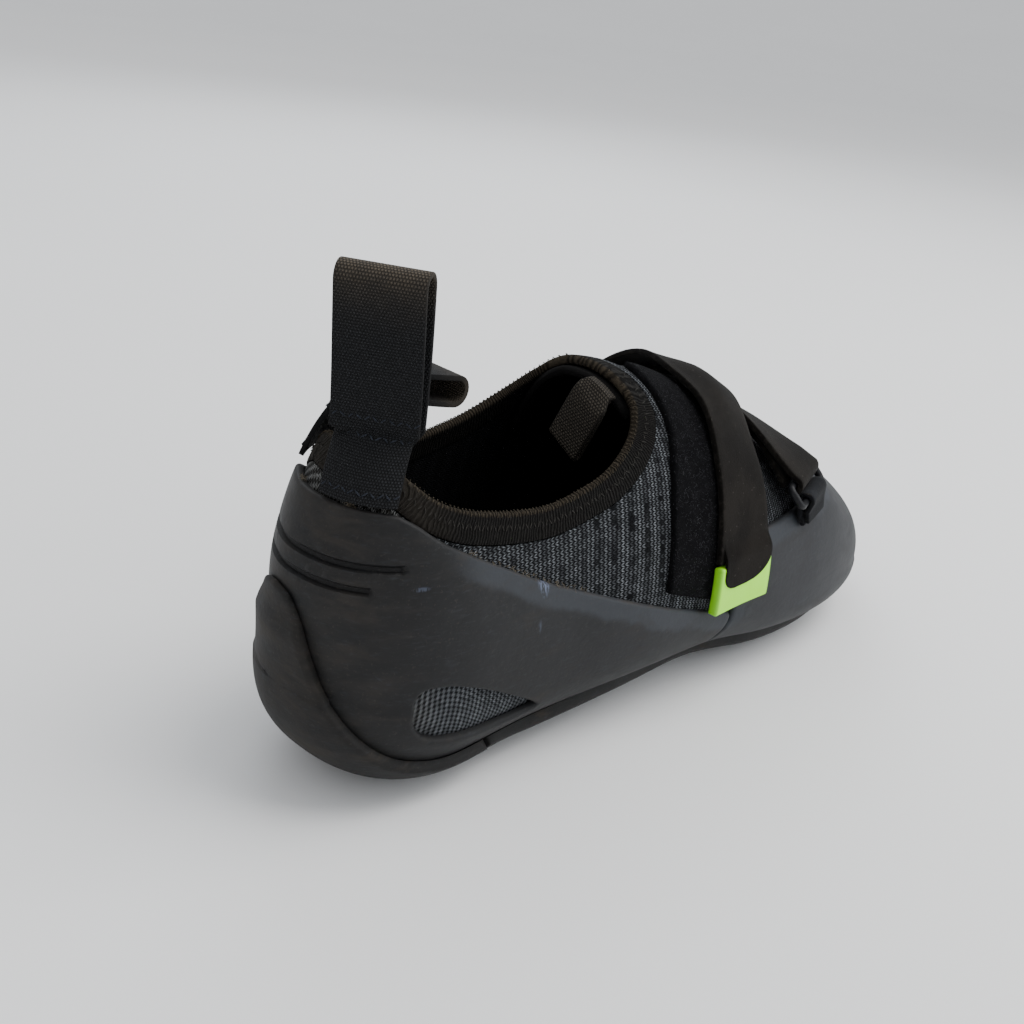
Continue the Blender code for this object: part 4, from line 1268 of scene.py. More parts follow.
    def tongue(self) -> Piece:
        """Builds the tongue inside the throat."""
        walls, last = self.walls, self.last
        rear, front = self.tongue_rear * last.length, self.tongue_front * last.length
        half = self.tongue_width / 2
        turns = np.linspace(-math.pi / 2, math.pi / 2, 17)
        tip = [(front - half * (1 - math.cos(turn)), half * math.sin(turn)) for turn in turns]
        outline = np.array([(rear, -half), *tip, (rear, half)])
        plan: Measure = lambda p: outside(p[:, :2], outline)
        skin = Skin(last, (10, 92, 12), 150)
        skin.cut(lambda p: 0.045 - p[:, 2])
        skin.cut(plan, (0.0, -0.4 * MM, -1.3 * MM))
        middle = walls.tongue_top - walls.tongue / 2
        bulge = lambda p: walls.tongue / 2 * round_edge(-plan(p), 1.3 * MM)
        return skin.piece("tongue_lining", lambda p: middle + bulge(p), lambda p: middle - bulge(p),
                          self.paints.lining, ["tongue"], "lining")

    def footbed(self) -> Piece:
        """Builds the footbed that closes the sock underneath."""
        walls, last = self.walls, self.last
        rows = []
        low, high = self.footbed_span
        for along in np.linspace(low, high, 60):
            at = last.section(np.array(along))
            share = math.sqrt(max(1 - (2 * (along - low) / (high - low) - 1) ** 6, 0.0))
            narrow = max(share, 0.35)
            outer, inner = ((at[side] - self.footbed_inset) * narrow for side in ("outer", "inner"))
            sides = np.linspace(-outer, inner, 25)
            starts = np.array([(along * last.length, at["sway"] + side, at["waist"]) for side in sides])
            points = last.cast(starts, (0.0, 0.0, -1.0))
            depth = walls.rand + walls.knit + 3 * walls.gap + walls.insole / 2
            rows.append(last.lifted(points, -depth))
        return tape("footbed", rows, walls.insole, 0.0, self.paints.footbed, ["insole"],
                    last)

    def build(self) -> None:
        """Builds all of the upper."""
        self.knit()
        self.collar()
        self.rim_threads()
        self.zigzag()
        self.tongue()
        self.footbed()


def stitches(name: str, spots: Sequence[Array], ways: Sequence[Array], half: float, radius: float,
             material: bpy.types.Material, last: Last) -> Piece:
    """Makes a row of short stitches.

    Args:
        name: the piece's name.
        spots: their middles, in the last's frame.
        ways: the directions they lie in.
        half: half their length.
        radius: their radius.
        material: the finish.
        last: the last, for its origin.

    Returns:
        The piece.
    """
    shape = bmesh.new()
    for spot, way in zip(spots, ways):
        place = Matrix.Translation(Vector(spot + np.array(last.origin)))
        turn = Vector(way).to_track_quat("Z", "X").to_matrix().to_4x4()
        scale = Matrix.Diagonal((radius, radius, half, 1.0))
        bmesh.ops.create_icosphere(shape, subdivisions=1, radius=1.0, matrix=place @ turn @ scale)
    mesh = bpy.data.meshes.new(name)
    shape.to_mesh(mesh)
    shape.free()
    return finished(name, mesh, material, (), 80.0)


@dataclass
class RubberParts(ShoePart):
    """The heel rand, toe rand, outsole and heel patch."""

    skive_width: float = 6.5 * MM
    skive_depth: float = 0.8 * MM
    toe_skive_depth: float = 0.5 * MM
    patch_feather: float = 10.0 * MM
    sole_blend: float = 18.0 * MM
    dent_rows: tuple = (
        ((0.060, 0.026), (0.022, 0.006), -0.45 * MM, Side.OUTER),
        ((0.085, 0.040), (0.030, 0.007), 0.35 * MM, Side.OUTER),
        ((0.130, 0.016), (0.020, 0.006), -0.45 * MM, Side.OUTER),
        ((0.165, 0.034), (0.010, 0.016), 0.35 * MM, Side.OUTER),
        ((0.190, 0.030), (0.008, 0.014), -0.40 * MM, Side.OUTER),
        ((0.040, 0.044), (0.012, 0.010), 0.40 * MM, Side.OUTER),
        ((0.120, 0.020), (0.018, 0.008), -0.50 * MM, Side.INNER),
        ((0.080, 0.030), (0.016, 0.010), 0.40 * MM, Side.INNER),
    )

    def dents(self, places: Array) -> Array:
        """Gives the soft troughs and ridges of the worn rubber."""
        x, y, z = places.T
        lift = np.zeros(len(places))
        for (cx, cz), (wx, wz), depth, side in self.dent_rows:
            near = np.exp(-((x - cx) / wx) ** 2 - ((z - cz) / wz) ** 2)
            lift += depth * near * (np.sign(y) == side.value)
        return lift

    def heel_region(self) -> Array:
        """Gives the heel rand's outline in the side view."""
        rand, seam = self.last.line(self.lines.rand), self.last.line(self.lines.seam)
        return np.vstack([rand, seam[1:], [[-0.03, seam[-1][1]]]])

    def heel_rand(self) -> Piece:
        """Builds the heel rand with its window and grooves."""
        walls, last = self.walls, self.last
        outline = self.heel_region()
        rand_line = last.line(self.lines.rand)
        window = last.line(self.lines.window + self.lines.window[:1], 5)[:-1]

        def region(p: Array) -> Array:
            return outside(p[:, [0, 2]], outline)

        def opening(p: Array) -> Array:
            return np.where(p[:, 1] < -0.012, -outside(p[:, [0, 2]], window), -0.02)

        half = walls.groove_width / 2

        def groove(p: Array) -> Array:
            best = np.full(len(p), 1.0)
            for height, end in self.lines.groove_rows:
                level = height * last.ankle_height
                gap, _ = to_line(p[:, [0, 2]], np.array([(-0.05, level), (end * last.length, level)]))
                best = np.minimum(best, gap - half)
            return best

        def above(height: float) -> Measure:
            front = 0.3 * last.heel_run + 0.012
            return lambda p: np.where(p[:, 0] < front, p[:, 2] - height * last.ankle_height, 1.0)

        def top(p: Array) -> Array:
            gap, _ = to_line(p[:, [0, 2]], rand_line)
            return gap

        # The outer side's skived band: cut thinner here, and given the painted highlight in the finish.
        def skive_highlight(p: Array) -> Array:
            return smooth(p[:, 0], 0.020, 0.034) * (p[:, 1] < 0)

        def outer(p: Array) -> Array:
            edge = np.minimum(-region(p), -opening(p))
            lift = -1.0 * MM * (1 - round_edge(edge, 1.0 * MM))
            lift += -self.skive_depth * (1 - smooth(top(p), 0.0, self.skive_width)) * skive_highlight(p)
            lift += -walls.groove_depth * smooth(-groove(p), -0.25 * MM, 0.35 * MM)
            return lift + self.dents(p)

        skin = Skin(last, (40, 92, 8), 170)
        skin.cut(region, (0.0, -0.15 * MM, -0.5 * MM, -1.0 * MM))
        skin.cut(opening, (0.0, -0.15 * MM, -0.5 * MM, -1.0 * MM))
        lips = (half + 0.25 * MM, half - 0.35 * MM, 0.0, 0.35 * MM - half, -half - 0.25 * MM)
        for height, end in self.lines.groove_rows:
            skin.cut(above(height), lips, keep=True)
            skin.cut(lambda p, stop=end * last.length: p[:, 0] - stop, (half, 0.0), keep=True)
        marks = {"edge": top, "skive_highlight": skive_highlight, "groove": lambda p: smooth(-groove(p), -0.15 * MM, 0.30 * MM)}
        return skin.piece("heel_rand_rubber", outer, lambda p: -walls.rand, self.paints.heel_rubber,
                          ["heel_rand"], "rand_rubber", marks)

    def toe_rand(self) -> Piece:
        """Builds the rubber that covers the toe box."""
        walls, last = self.walls, self.last
        seam, toe = last.line(self.lines.seam), last.line(self.lines.toe)
        front = last.length + 0.03
        outline = np.vstack([seam[::-1], toe[1:], [[front, toe[-1][1]], [front, seam[-1][1]]]])
        outline[:, 0] += walls.gap * (outline[:, 0] < 0.8 * last.length)

        def region(p: Array) -> Array:
            return outside(p[:, [0, 2]], outline)

        def top(p: Array) -> Array:
            gap, _ = to_line(p[:, [0, 2]], toe)
            return gap

        def outer(p: Array) -> Array:
            lift = -1.0 * MM * (1 - round_edge(-region(p), 1.0 * MM)) + self.dents(p)
            return lift - self.toe_skive_depth * (1 - smooth(top(p), 0.0, self.skive_width))

        skin = Skin(last, (6, 92, 56), 170)
        skin.cut(region, (0.0, -0.15 * MM, -0.5 * MM, -1.0 * MM))
        # The toe rand's whole top edge is skived and given the painted highlight.
        return skin.piece("toe_rand_rubber", outer, lambda p: -walls.rand, self.paints.toe_rubber,
                          ["toe_rubber"], "rand_rubber", {"edge": top, "skive_highlight": lambda p: np.ones(len(p))})

    def outsole(self) -> Piece:
        """Builds the outsole, thickest straight under the foot and feathered at its sides."""
        walls, last = self.walls, self.last
        line = last.line(self.lines.sole)
        outline = np.vstack([line, [[line[-1][0], -0.02], [line[0][0], -0.02]]])

        def region(p: Array) -> Array:
            return outside(p[:, [0, 2]], outline)

        def outer(p: Array) -> Array:
            share = np.clip(-last.out(p)[:, 2], 0.15, 1.0)
            gap, _ = to_line(p[:, [0, 2]], line)
            front = smooth(p[:, 0], line[0][0], line[0][0] + self.sole_blend)
            wall = walls.patch * (1 - front) + walls.sole * share * front
            return walls.gap + wall * (0.55 + 0.45 * round_edge(gap, 1.6 * MM))

        skin = Skin(last, (14, 92, 44), 170)
        skin.cut(region, (0.0, -0.3 * MM, -0.9 * MM, -1.6 * MM))
        return self.underfoot(skin, "outsole_rubber", outer, region, self.paints.sole_rubber, "outsole")

    def heel_patch(self) -> Piece:
        """Builds the thick patch that wraps the heel."""
        walls, last = self.walls, self.last
        bell = through(self.lines.patch, 6) * (last.ball_width, last.ankle_height)
        outline = np.vstack([bell, [[bell[-1][0], -0.02], [-bell[-1][0], -0.02]], bell[:0:-1] * (-1, 1)])
        reach, top = self.lines.patch_reach * last.length, bell[0][1]

        def region(p: Array) -> Array:
            return np.maximum(outside(p[:, 1:], outline), p[:, 0] - reach)

        def outer(p: Array) -> Array:
            share = np.clip((top - p[:, 2]) / self.patch_feather, 0.45, 1.0)
            edge = round_edge(-outside(p[:, 1:], outline), 1.3 * MM)
            return walls.gap + walls.patch * share * (0.50 + 0.50 * edge)

        skin = Skin(last, (44, 40, 4), 170)
        skin.cut(region, (0.0, -0.2 * MM, -0.7 * MM, -1.3 * MM))
        return self.underfoot(skin, "heel_patch_rubber", outer, region, self.paints.patch_rubber,
                              "heel_patch")

    def underfoot(self, skin: Skin, name: str, outer: Measure, region: Measure,
                  material: bpy.types.Material, node: str) -> Piece:
        """Gives rubber under the foot its wall, and presses what would be under the floor flat onto it.

        Args:
            skin: the cut sheet.
            name: the piece's name.
            outer: lift of its outer face.
            region: its region, below zero inside.
            material: the finish.
            node: the solid that it stands for.

        Returns:
            The piece.
        """
        marks = {"edge": lambda p: -region(p), "skive_highlight": lambda p: np.zeros(len(p))}
        piece = skin.piece(name, outer, lambda p: self.walls.gap, material, [node], "sole_rubber", marks)
        spots = np.zeros(len(piece.data.vertices) * 3)
        piece.data.vertices.foreach_get("co", spots)
        spots[2::3] = np.maximum(spots[2::3], 0.0)
        piece.data.vertices.foreach_set("co", spots)
        piece.data.update()
        return piece

    def build(self) -> None:
        """Builds all of the rubber."""
        self.heel_rand()
        self.toe_rand()
        self.outsole()
        self.heel_patch()


@dataclass
class Closure(ShoePart):
    """The folded strap with its pile pad, rings, holders and lime tip."""

    strap_width: float = 21.5 * MM
    strap_stop: float = 0.8
    strap_hang: float = 0.85
    hang_at: tuple[float, float] = (-18.0, 22.0)
    tip_start: float = 0.5
    tip_spare: float = 1.0 * MM
    pile_fibres: int = 2000
    tip_share: float = 0.090
    ring_wire: float = 1.1 * MM
    ring_slack: float = 1.6 * MM
    ring_corner: float = 1.8 * MM
    ring_depth: float = 6.2 * MM
    holder_width: float = 17.0 * MM
    holder_drop: float = 6.0 * MM
    end_turn: float = 9.0
    end_corners: tuple[float, float] = (0.30, 0.52)
    end_stand: float = 0.3 * MM
    pad_side: float = 6.0 * MM
    pad_foot: float = 0.6 * MM
    end_wall: float = 0.8 * MM
    runs: dict[str, tuple] = field(default_factory=lambda: {
        "strap_front": ((64.0, 0.737, -14.0, 0.0), (20.0, 0.709, -10.0, 0.0), (-30.0, 0.640, 9.0, 0.0),
                        (-68.0, 0.604, 19.0, 0.0)),
        "strap_middle": ((-68.0, 0.604, 19.0, 2.75), (-48.0, 0.604, 19.0, 1.35), (-4.0, 0.604, 19.0, 1.30),
                         (27.0, 0.604, 19.0, 0.15), (68.0, 0.604, 19.0, 0.0)),
        "strap_rear": ((68.0, 0.604, 19.0, 2.75), (46.0, 0.592, 12.0, 1.60), (0.0, 0.553, -8.0, 2.70),
                       (-22.0, 0.546, -10.0, 2.65), (-48.0, 0.543, -11.0, 0.20), (-80.0, 0.542, -12.0, 0.0),
                       (-111.0, 0.542, -12.0, 0.0)),
    })
    rings_at: dict[str, tuple] = field(default_factory=lambda: {
        "lateral": (-68.0, 0.604, 19.0), "medial": (68.0, 0.604, 19.0)})

    def across_foot(self, angle: float, crown: float, yaw: float, width: float,
                    columns: int) -> tuple[Array, Array]:
        """Lays a row of points over the last in a plane across the foot.

        Args:
            angle: degrees from straight up, positive to the inner side.
            crown: where the plane crosses the top, share of the length.
            yaw: the plane's turn in degrees.
            width: the row's length.
            columns: its points.

        Returns:
            The points and the row's direction.
        """
        last = self.last
        at = last.section(np.array(crown))
        centre = np.array((crown * last.length, at["sway"], at["waist"] + 0.35 * (at["crown"] - at["waist"])))
        turn = math.radians(yaw)
        across = np.array((math.cos(turn), math.sin(turn), 0.0))
        inward = np.array((-math.sin(turn), math.cos(turn), 0.0))
        lean = math.radians(angle)
        heading = math.sin(lean) * inward + math.cos(lean) * np.array((0, 0, 1.0))
        starts = centre + np.linspace(-width / 2, width / 2, columns)[:, None] * across
        return last.cast(starts, heading), across

    def bar(self, angle: float, crown: float, yaw: float, width: float, lift: float,
            columns: int) -> tuple[Array, Array, Array]:
        """Gives points along a ring's bar, the direction off the foot and the one down its side."""
        points, _ = self.across_foot(angle, crown, yaw, self.strap_width, 3)
        across = unit(points[2] - points[0])
        off = self.last.out(points[1])
        off = unit(off - across * np.dot(off, across))
        down = np.cross(across, off) * math.copysign(1.0, angle) * -1.0
        spread = np.linspace(-width / 2, width / 2, columns)[:, None] * across
        return points[1] + off * lift + spread, off, down

    def strap_rows(self, name: str, table: Rows, columns: int = 13) -> list[Array]:
        """Lays the rows of one run of the strap, folded round the ring that it comes from.

        Args:
            name: the run's name.
            table: its rows of angle, crown, yaw and lift in straps.
            columns: points across it.

        Returns:
            The rows.
        """
        walls, last = self.walls, self.last
        fine = through(table, 16)
        end = len(fine) - 1
        if name == "strap_rear":
            end = round((1 - self.tip_share) * end)
        rows = []
        for number, (angle, crown, yaw, lift) in enumerate(fine[:end + 1]):
            if number == len(fine) - 1:
                angle -= math.copysign(self.strap_stop, angle)
            points, _ = self.across_foot(angle, crown, yaw, self.strap_width, columns)
            rise = np.full(columns, max(lift, 0.0) * walls.strap)
            if name == "strap_rear":
                middle, reach = self.hang_at
                hang = math.exp(-((angle - middle) / reach) ** 2) * self.strap_hang
                rise *= 1 - hang * (1 - smooth(np.linspace(0, 1, columns), 0.0, 0.55))
            rows.append(last.lifted(points, walls.gap + rise))
        if name != "strap_front":
            turn = self.ring_wire + walls.gap
            angle, crown, yaw, _ = table[0]
            lift = walls.gap + walls.strap + turn
            bar, off, down = self.bar(angle, crown, yaw, self.strap_width, lift, columns)
            bend = [bar + turn * (math.cos(way) * off + math.sin(way) * down)
                    for way in np.linspace(math.pi, 0, 15)]
            rows = bend + rows[5:]
        return self.outward(rows)

    def straps(self) -> None:
        """Builds the three runs of the strap and the moulded tip."""
        for name, table in self.runs.items():
            tape("closure_" + name, self.strap_rows(name, table), self.walls.strap, 1.0, self.paints.suede,
                 [name], self.last, 0.45 * MM)
        self.strap_tip(self.runs["strap_rear"])
        self.strap_end(self.runs["strap_rear"])

    def strap_tip(self, table: Rows, steps: int = 40, columns: int = 13) -> Piece:
        """Builds the moulding at the strap's end.

        Args:
            table: the rows of the run that ends there.
            steps: rows for each stretch of the table.
            columns: points across it.

        Returns:
            The piece.
        """
        walls, last = self.walls, self.last
        rear = round((1 - self.tip_share) * (steps * (len(table) - 1)))
        rows = []
        for angle, crown, yaw, _ in through(table, steps)[rear:]:
            width = self.strap_width + self.tip_spare
            points, _ = self.across_foot(angle - self.tip_start, crown, yaw, width, columns)
            rows.append(last.lifted(points, walls.gap))
        return tape("strap_tip_moulding", self.outward(rows), walls.tip, 1.0, self.paints.lime, ["strap_tip"],
                    last, 0.8 * MM)

    def strap_end(self, table: Rows) -> Piece:
        """Lays the strap's rounded end into the face of the moulding.

        Args:
            table: the rows of the run that ends there.

        Returns:
            The piece.
        """
        walls, last = self.walls, self.last
        fine = through(table, 40)
        rear = round((1 - self.tip_share) * (len(fine) - 1))
        angles = np.linspace(fine[rear][0] + 8.0, fine[rear][0] - self.end_turn, 36)
        columns = 25
        rows = []
        for angle in angles:
            crown, yaw = (np.interp(-angle, -fine[:, 0], fine[:, k]) for k in (1, 2))
            points, _ = self.across_foot(angle, crown, yaw, self.strap_width, columns)
            share = (angles[0] - angle) / (angles[0] - angles[-1])
            low, high = self.end_corners
            left = 1 - (1 - math.sqrt(max(1 - max((share - 1 + low) / low, 0.0) ** 2, 0.0))) * 0.42
            right = math.sqrt(max(1 - max((share - 1 + high) / high, 0.0) ** 2, 0.0))
            spread = np.linspace(-0.5 * left + 0.055, 0.5 * right, columns) + 0.5
            shares = np.linspace(0, 1, columns)
            places = np.stack([np.interp(spread, shares, points[:, k]) for k in range(3)], -1)
            climb = float(smooth(np.array(share), 0.02, 0.42))
            rise = walls.strap + (walls.tip - walls.strap + self.end_stand) * climb
            rows.append(last.lifted(last.cast(places - last.out(places) * 2 * MM, last.out(places)),
                                    walls.gap + rise - self.end_wall))
        return tape("strap_end_suede", self.outward(rows), self.end_wall, 1.0, self.paints.suede, (),
                    last, 0.25 * MM)

    def outward(self, rows: list[Array]) -> list[Array]:
        """Turns the order of rows so that the faces look off the foot."""
        here, ahead = rows[len(rows) // 2], rows[len(rows) // 2 + 1]
        facing = np.dot(np.cross(here[1] - here[0], ahead[0] - here[0]), self.last.out(here[0]))
        return rows if facing > 0 else rows[::-1]

    def pad(self) -> Piece:
        """Builds the pile pad on the outer side."""
        walls, last = self.walls, self.last
        outline = last.line(self.lines.pad, 3)
        rand = last.line(self.lines.rand)
        floor = np.vstack([rand, [[0.20, rand[-1][1] - 0.004]], [[0.20, 0.3]], [[rand[0][0], 0.3]]])

        def region(p: Array) -> Array:
            above = outside(p[:, [0, 2]], floor) + self.pad_foot
            return np.maximum.reduce([outside(p[:, [0, 2]], outline), above, p[:, 1] + self.pad_side])

        top = -walls.rand + walls.pad
        skin = Skin(last, (4, 110, 4), 190)
        skin.cut(region, (0.0, -0.3 * MM, -1.0 * MM))
        return skin.piece("pile_pad", lambda p: top - 0.9 * MM * (1 - round_edge(-region(p), 1.0 * MM)),
                          lambda p: -walls.rand, self.paints.pile, ["hook_and_loop_pad"], "hook_and_loop")

    def lint(self) -> Piece:
        """Scatters curled grey fibres over the pile."""
        walls, last = self.walls, self.last
        rng = np.random.default_rng(11)
        spots, ways = [], []
        for _ in range(16):
            along, height = rng.uniform(0.400, 0.445), rng.uniform(0.44, 0.86)
            at = last.section(np.array(along))
            x, z = along * last.length, height * last.ankle_height
            radius, turn, bow = rng.uniform(1.0, 3.4) * MM, rng.uniform(0, 6.3), rng.uniform(0.3, 1.5)
            previous = None
            for step in range(10):
                spin = turn + bow * step / 9
                way = radius * np.array((math.cos(spin), 0.0, math.sin(spin)))
                start = np.array((x, float(at["sway"]), z)) + way
                if last.depth(start[None])[0] > -0.05:
                    continue
                point = last.cast(start, (0.0, -1.0, 0.0))
                point = point + last.out(point) * (-walls.rand + walls.pad + 0.12 * MM)
                if previous is not None:
                    spots.append((point + previous) / 2)
                    ways.append(point - previous)
                previous = point
        lengths = float(np.median([np.linalg.norm(way) for way in ways]))
        return stitches("pile_lint", spots, ways, 0.62 * lengths, 0.045 * MM, self.paints.lint,
                        last)

    def loose_pile(self) -> Piece:
        """Stands short fibres up from the pile and over its edges."""
        walls, last = self.walls, self.last
        outline = last.line(self.lines.pad, 3)
        low, high = outline.min(axis=0), outline.max(axis=0)
        rng = np.random.default_rng(23)
        x, z = rng.uniform(low, high, (self.pile_fibres, 2)).T
        starts = np.stack([x, last.section(x / last.length)["sway"], z], -1)
        starts = starts[(outside(starts[:, [0, 2]], outline) < 0.2 * MM) & (last.depth(starts) < -0.05)]
        points = last.cast(starts, (0.0, -1.0, 0.0))
        out = last.out(points)
        spots = points + out * (walls.pad - walls.rand + rng.uniform(0.0, 0.25 * MM, (len(points), 1)))
        ways = rng.normal(size=(len(points), 3)) + out * rng.uniform(0.2, 1.2, (len(points), 1))
        return stitches("pile_loose_fibres", spots, ways, 0.50 * MM, 0.045 * MM, self.paints.loose_pile,
                        last)

    def rings(self) -> None:
        """Builds the two rings and the webbing that holds them."""
        walls, last = self.walls, self.last
        lift = walls.gap + walls.strap + self.ring_wire + walls.gap
        for name, (angle, crown, yaw) in self.rings_at.items():
            width = self.strap_width + 2 * (self.ring_wire + self.ring_slack)
            bar, off, down = self.bar(angle, crown, yaw, width, lift, 3)
            across = (bar[2] - bar[0]) / width
            path = []
            for number, (sideways, lower) in enumerate(((1, 0), (1, 1), (-1, 1), (-1, 0))):
                middle = bar[1] + sideways * (width / 2 - self.ring_corner) * across
                middle = middle + down * (self.ring_depth - self.ring_corner if lower else self.ring_corner)
                for turn in np.linspace(-math.pi / 2, 0, 8) + number * math.pi / 2:
                    path.append(middle + self.ring_corner * (math.cos(turn) * across + math.sin(turn) * down))
            self.wire("ring_" + name + "_plastic", path, ["ring_" + name])
            turn = self.ring_wire + walls.gap + walls.webbing / 2
            lower = bar + down * self.ring_depth
            fit = self.holder_width / width
            columns = 9
            shares = np.linspace(-1, 1, columns)[:, None]
            half = (lower[2] - lower[0]) / 2 * fit
            hug = [lower[1] + shares * half + turn * (math.cos(bend) * off - math.sin(bend) * down)
                   for bend in np.linspace(-0.7, math.pi, 16)]
            front, back = [], []
            for share in np.linspace(0.5, 1.0, 6):
                spot = lower[1] + shares * half * (1 - 0.3 * share) + down * self.holder_drop * share
                point = last.cast(spot - off * 0.03, off)
                ground = last.lifted(point, walls.gap + walls.webbing / 2)
                stand = 2 * turn * (1 - share) + (walls.webbing + walls.gap) * share
                back.append(ground)
                front.append(ground + off * stand)
            rows = front[::-1] + hug + back
            tape("holder_" + name + "_webbing", rows, walls.webbing, 0.0, self.paints.holder,
                 ["ring_holder_" + name], last, 0.3 * MM)

    def wire(self, name: str, path: list[Array], nodes: Sequence[str]) -> Piece:
        """Makes a closed round wire along a path, for the solids that it stands for."""
        curve = bpy.data.curves.new(name, "CURVE")
        curve.dimensions = "3D"
        curve.bevel_depth = self.ring_wire
        curve.bevel_resolution = 4
        spline = curve.splines.new("POLY")
        spline.points.add(len(path) - 1)
        spline.use_cyclic_u = True
        for point, spot in zip(spline.points, path):
            point.co = (*(spot + np.array(self.last.origin)), 1.0)
        drawn = bpy.data.objects.new(name + "_path", curve)
        bpy.context.scene.collection.objects.link(drawn)
        mesh = bpy.data.meshes.new_from_object(drawn.evaluated_get(bpy.context.evaluated_depsgraph_get()))
        bpy.data.objects.remove(drawn)
        mesh.name = name
        return finished(name, mesh, self.paints.ring, nodes, 80.0)

    def build(self) -> None:
        """Builds all of the closure."""
        self.pad()
        self.lint()
        self.loose_pile()
        self.straps()
        self.rings()


@dataclass
class Loops(ShoePart):
    """The two webbing loops at the heel and the short tab on the tongue."""

    width: float = 20.0 * MM
    rise: float = 39.5 * MM
    bulge: float = 3.2 * MM
    clearance: float = 1.2 * MM
    heights: tuple[float, float, float] = (0.775, 0.835, 0.900)
    tab_width: float = 11.0 * MM
    tab_drop: float = 15.5 * MM
    tab_sewn: float = 2.6 * MM
    tab_swell: float = 1.1
    tab_side: float = -14.3 * MM
    tab_across: tuple[float, float, float] = (0.0, -0.86, -0.50)
    tab_down: tuple[float, float, float] = (-0.24, 0.30, -0.91)
    tongue_rear: float = 0.375
    loops: dict[str, tuple] = field(default_factory=lambda: {
        "lateral": (-1.0, 31.0, 0.0056, 1.0, -3.0, (1.0, 0.0)),
        "medial": (1.0, 60.0, 0.0060, 0.77, 104.0, (1.0, 0.05)),
    })

    def loop_rows(self, front: list[Array], back: list[Array], centres: list[Array],
                  widths: list[Array], offs: list[Array],
                  bulge: float) -> tuple[Array, Array]:
        """Lays rows up the front of a loop, round its end and down its back.

        Args:
            front: rows of the front leg where it is sewn on, from the bottom.
            back: rows of the back leg where it is sewn on, from the top.
            centres: middles of the free part.
            widths: its width vectors.
            offs: directions from the middle to the front leg.
            bulge: half the gap between the legs at the end.

        Returns:
            The rows, and for each point how near the fold it is.
        """
        columns = np.linspace(-0.5, 0.5, len(front[0]))[:, None]
        up, down = [], []
        swell = 0.55 + 0.45 * np.sin(np.linspace(0.3, math.pi / 2, len(centres)))
        for centre, width, off, share in zip(centres, widths, offs, swell):
            row = centre + columns * width
            up.append(row + off * bulge * share)
            down.append(row - off * bulge * share)
        tangent = unit(np.array(centres[-1]) - np.array(centres[-2]))
        last_row = centres[-1] + columns * widths[-1]
        end = [last_row + bulge * (math.cos(turn) * offs[-1] + math.sin(turn) * tangent)
               for turn in np.linspace(0, math.pi, 14)[1:-1]]
        rows = [*front, *up, *end, *down[::-1], *back]
        fold = np.zeros((len(rows), len(front[0])))
        middle = len(front) + len(up) + len(end) / 2
        for number in range(len(rows)):
            fold[number] = math.exp(-((number - middle) / (0.62 * len(end))) ** 2)
        return np.array(rows), fold

    def pull_loops(self) -> None:
        """Builds the standing outer loop and the inner loop that has flopped forwards."""
        walls, last = self.walls, self.last
        outer_lift = walls.band_face + self.clearance + walls.webbing / 2
        inner_lift = walls.band_face - walls.band - self.clearance - walls.webbing / 2
        columns = 13
        for name, (side, turn, shift, rise, bend, (forwards, inwards)) in self.loops.items():
            turn = math.radians(turn)
            off = np.array((-math.cos(turn), side * math.sin(turn), 0.0))
            along = np.array((math.sin(turn), side * math.cos(turn), 0.0)) * side
            shifts = np.linspace(-self.width / 2, self.width / 2, columns)[:, None] * along
            sway = last.sway_at(0.0)
            front, back = [], []
            for height in np.linspace(self.heights[0], self.heights[-1], 7):
                middle = np.array((0.9 * last.heel_run, sway + shift, height * last.ankle_height))
                starts = middle + shifts * 0.9
                points = last.cast(starts, off)
                front.append(last.lifted(points, outer_lift))
                back.append(last.lifted(points, inner_lift))
            foot = (front[-1] + back[-1]).mean(axis=0) / 2
            heading = np.array((forwards, inwards, 0.0))
            upright = np.array((0, 0, 1.0))
            centres, widths, offs = [], [], []
            spot = foot + np.array((0, 0, 0.002))
            steps = 26
            for step in range(1, steps + 1):
                share = step / steps
                reach = min(share / 0.6, 1)
                lean = math.radians(bend) * (3 * reach ** 2 - 2 * reach ** 3)
                way = unit(-off * (1 - share) + heading * share)
                tangent = math.cos(lean) * upright + math.sin(lean) * way
                spot = spot + tangent * (rise * self.rise - 2 * self.bulge) / steps
                flat = along * (1 - share * abs(bend) / 110) + np.array((0, 1.0, 0)) * share * abs(bend) / 110
                flat = unit(flat)
                out = np.cross(flat, tangent)
                out *= math.copysign(1.0, np.dot(out, off * math.cos(lean) + upright * math.sin(lean)))
                centres.append(spot)
                widths.append(flat * self.width)
                offs.append(unit(out))
            rows, fold = self.loop_rows(front, back[::-1], centres, widths, offs, self.bulge)
            tape("pull_loop_" + name + "_webbing", rows, walls.webbing, 0.0, self.paints.webbing,
                 ["pull_loop_" + name], last, 0.3 * MM, {"fold": fold})
            self.loop_stitches(name, rows)

    def loop_stitches(self, name: str, rows: Array) -> None:
        """Sews three rows of zigzag through a loop's foot."""
        spots, ways = [], []
        out = unit(np.cross(rows[3][1] - rows[3][0], rows[4][0] - rows[3][0]))
        if np.dot(out, self.last.out(rows[3][6])) < 0:
            out = -out
        count = 11
        for number in (1, 6, 9):
            row, ahead = rows[number], rows[number + 1]
            tilt = unit(ahead[6] - row[6])
            across = unit(row[-1] - row[0])
            for step in range(count):
                ways.append(across + tilt * (0.8 if step % 2 else -0.8))
                share = 12 * (step + 0.5) / count
                inner = min(int(share), 11)
                spots.append(row[inner] * (1 - share + inner) + row[inner + 1] * (share - inner)
                             + out * (self.walls.webbing / 2 + 0.12 * MM))
        stitches("pull_loop_" + name + "_threads", spots, ways, 1.0 * MM, 0.22 * MM, self.paints.black_thread,
                 self.last)

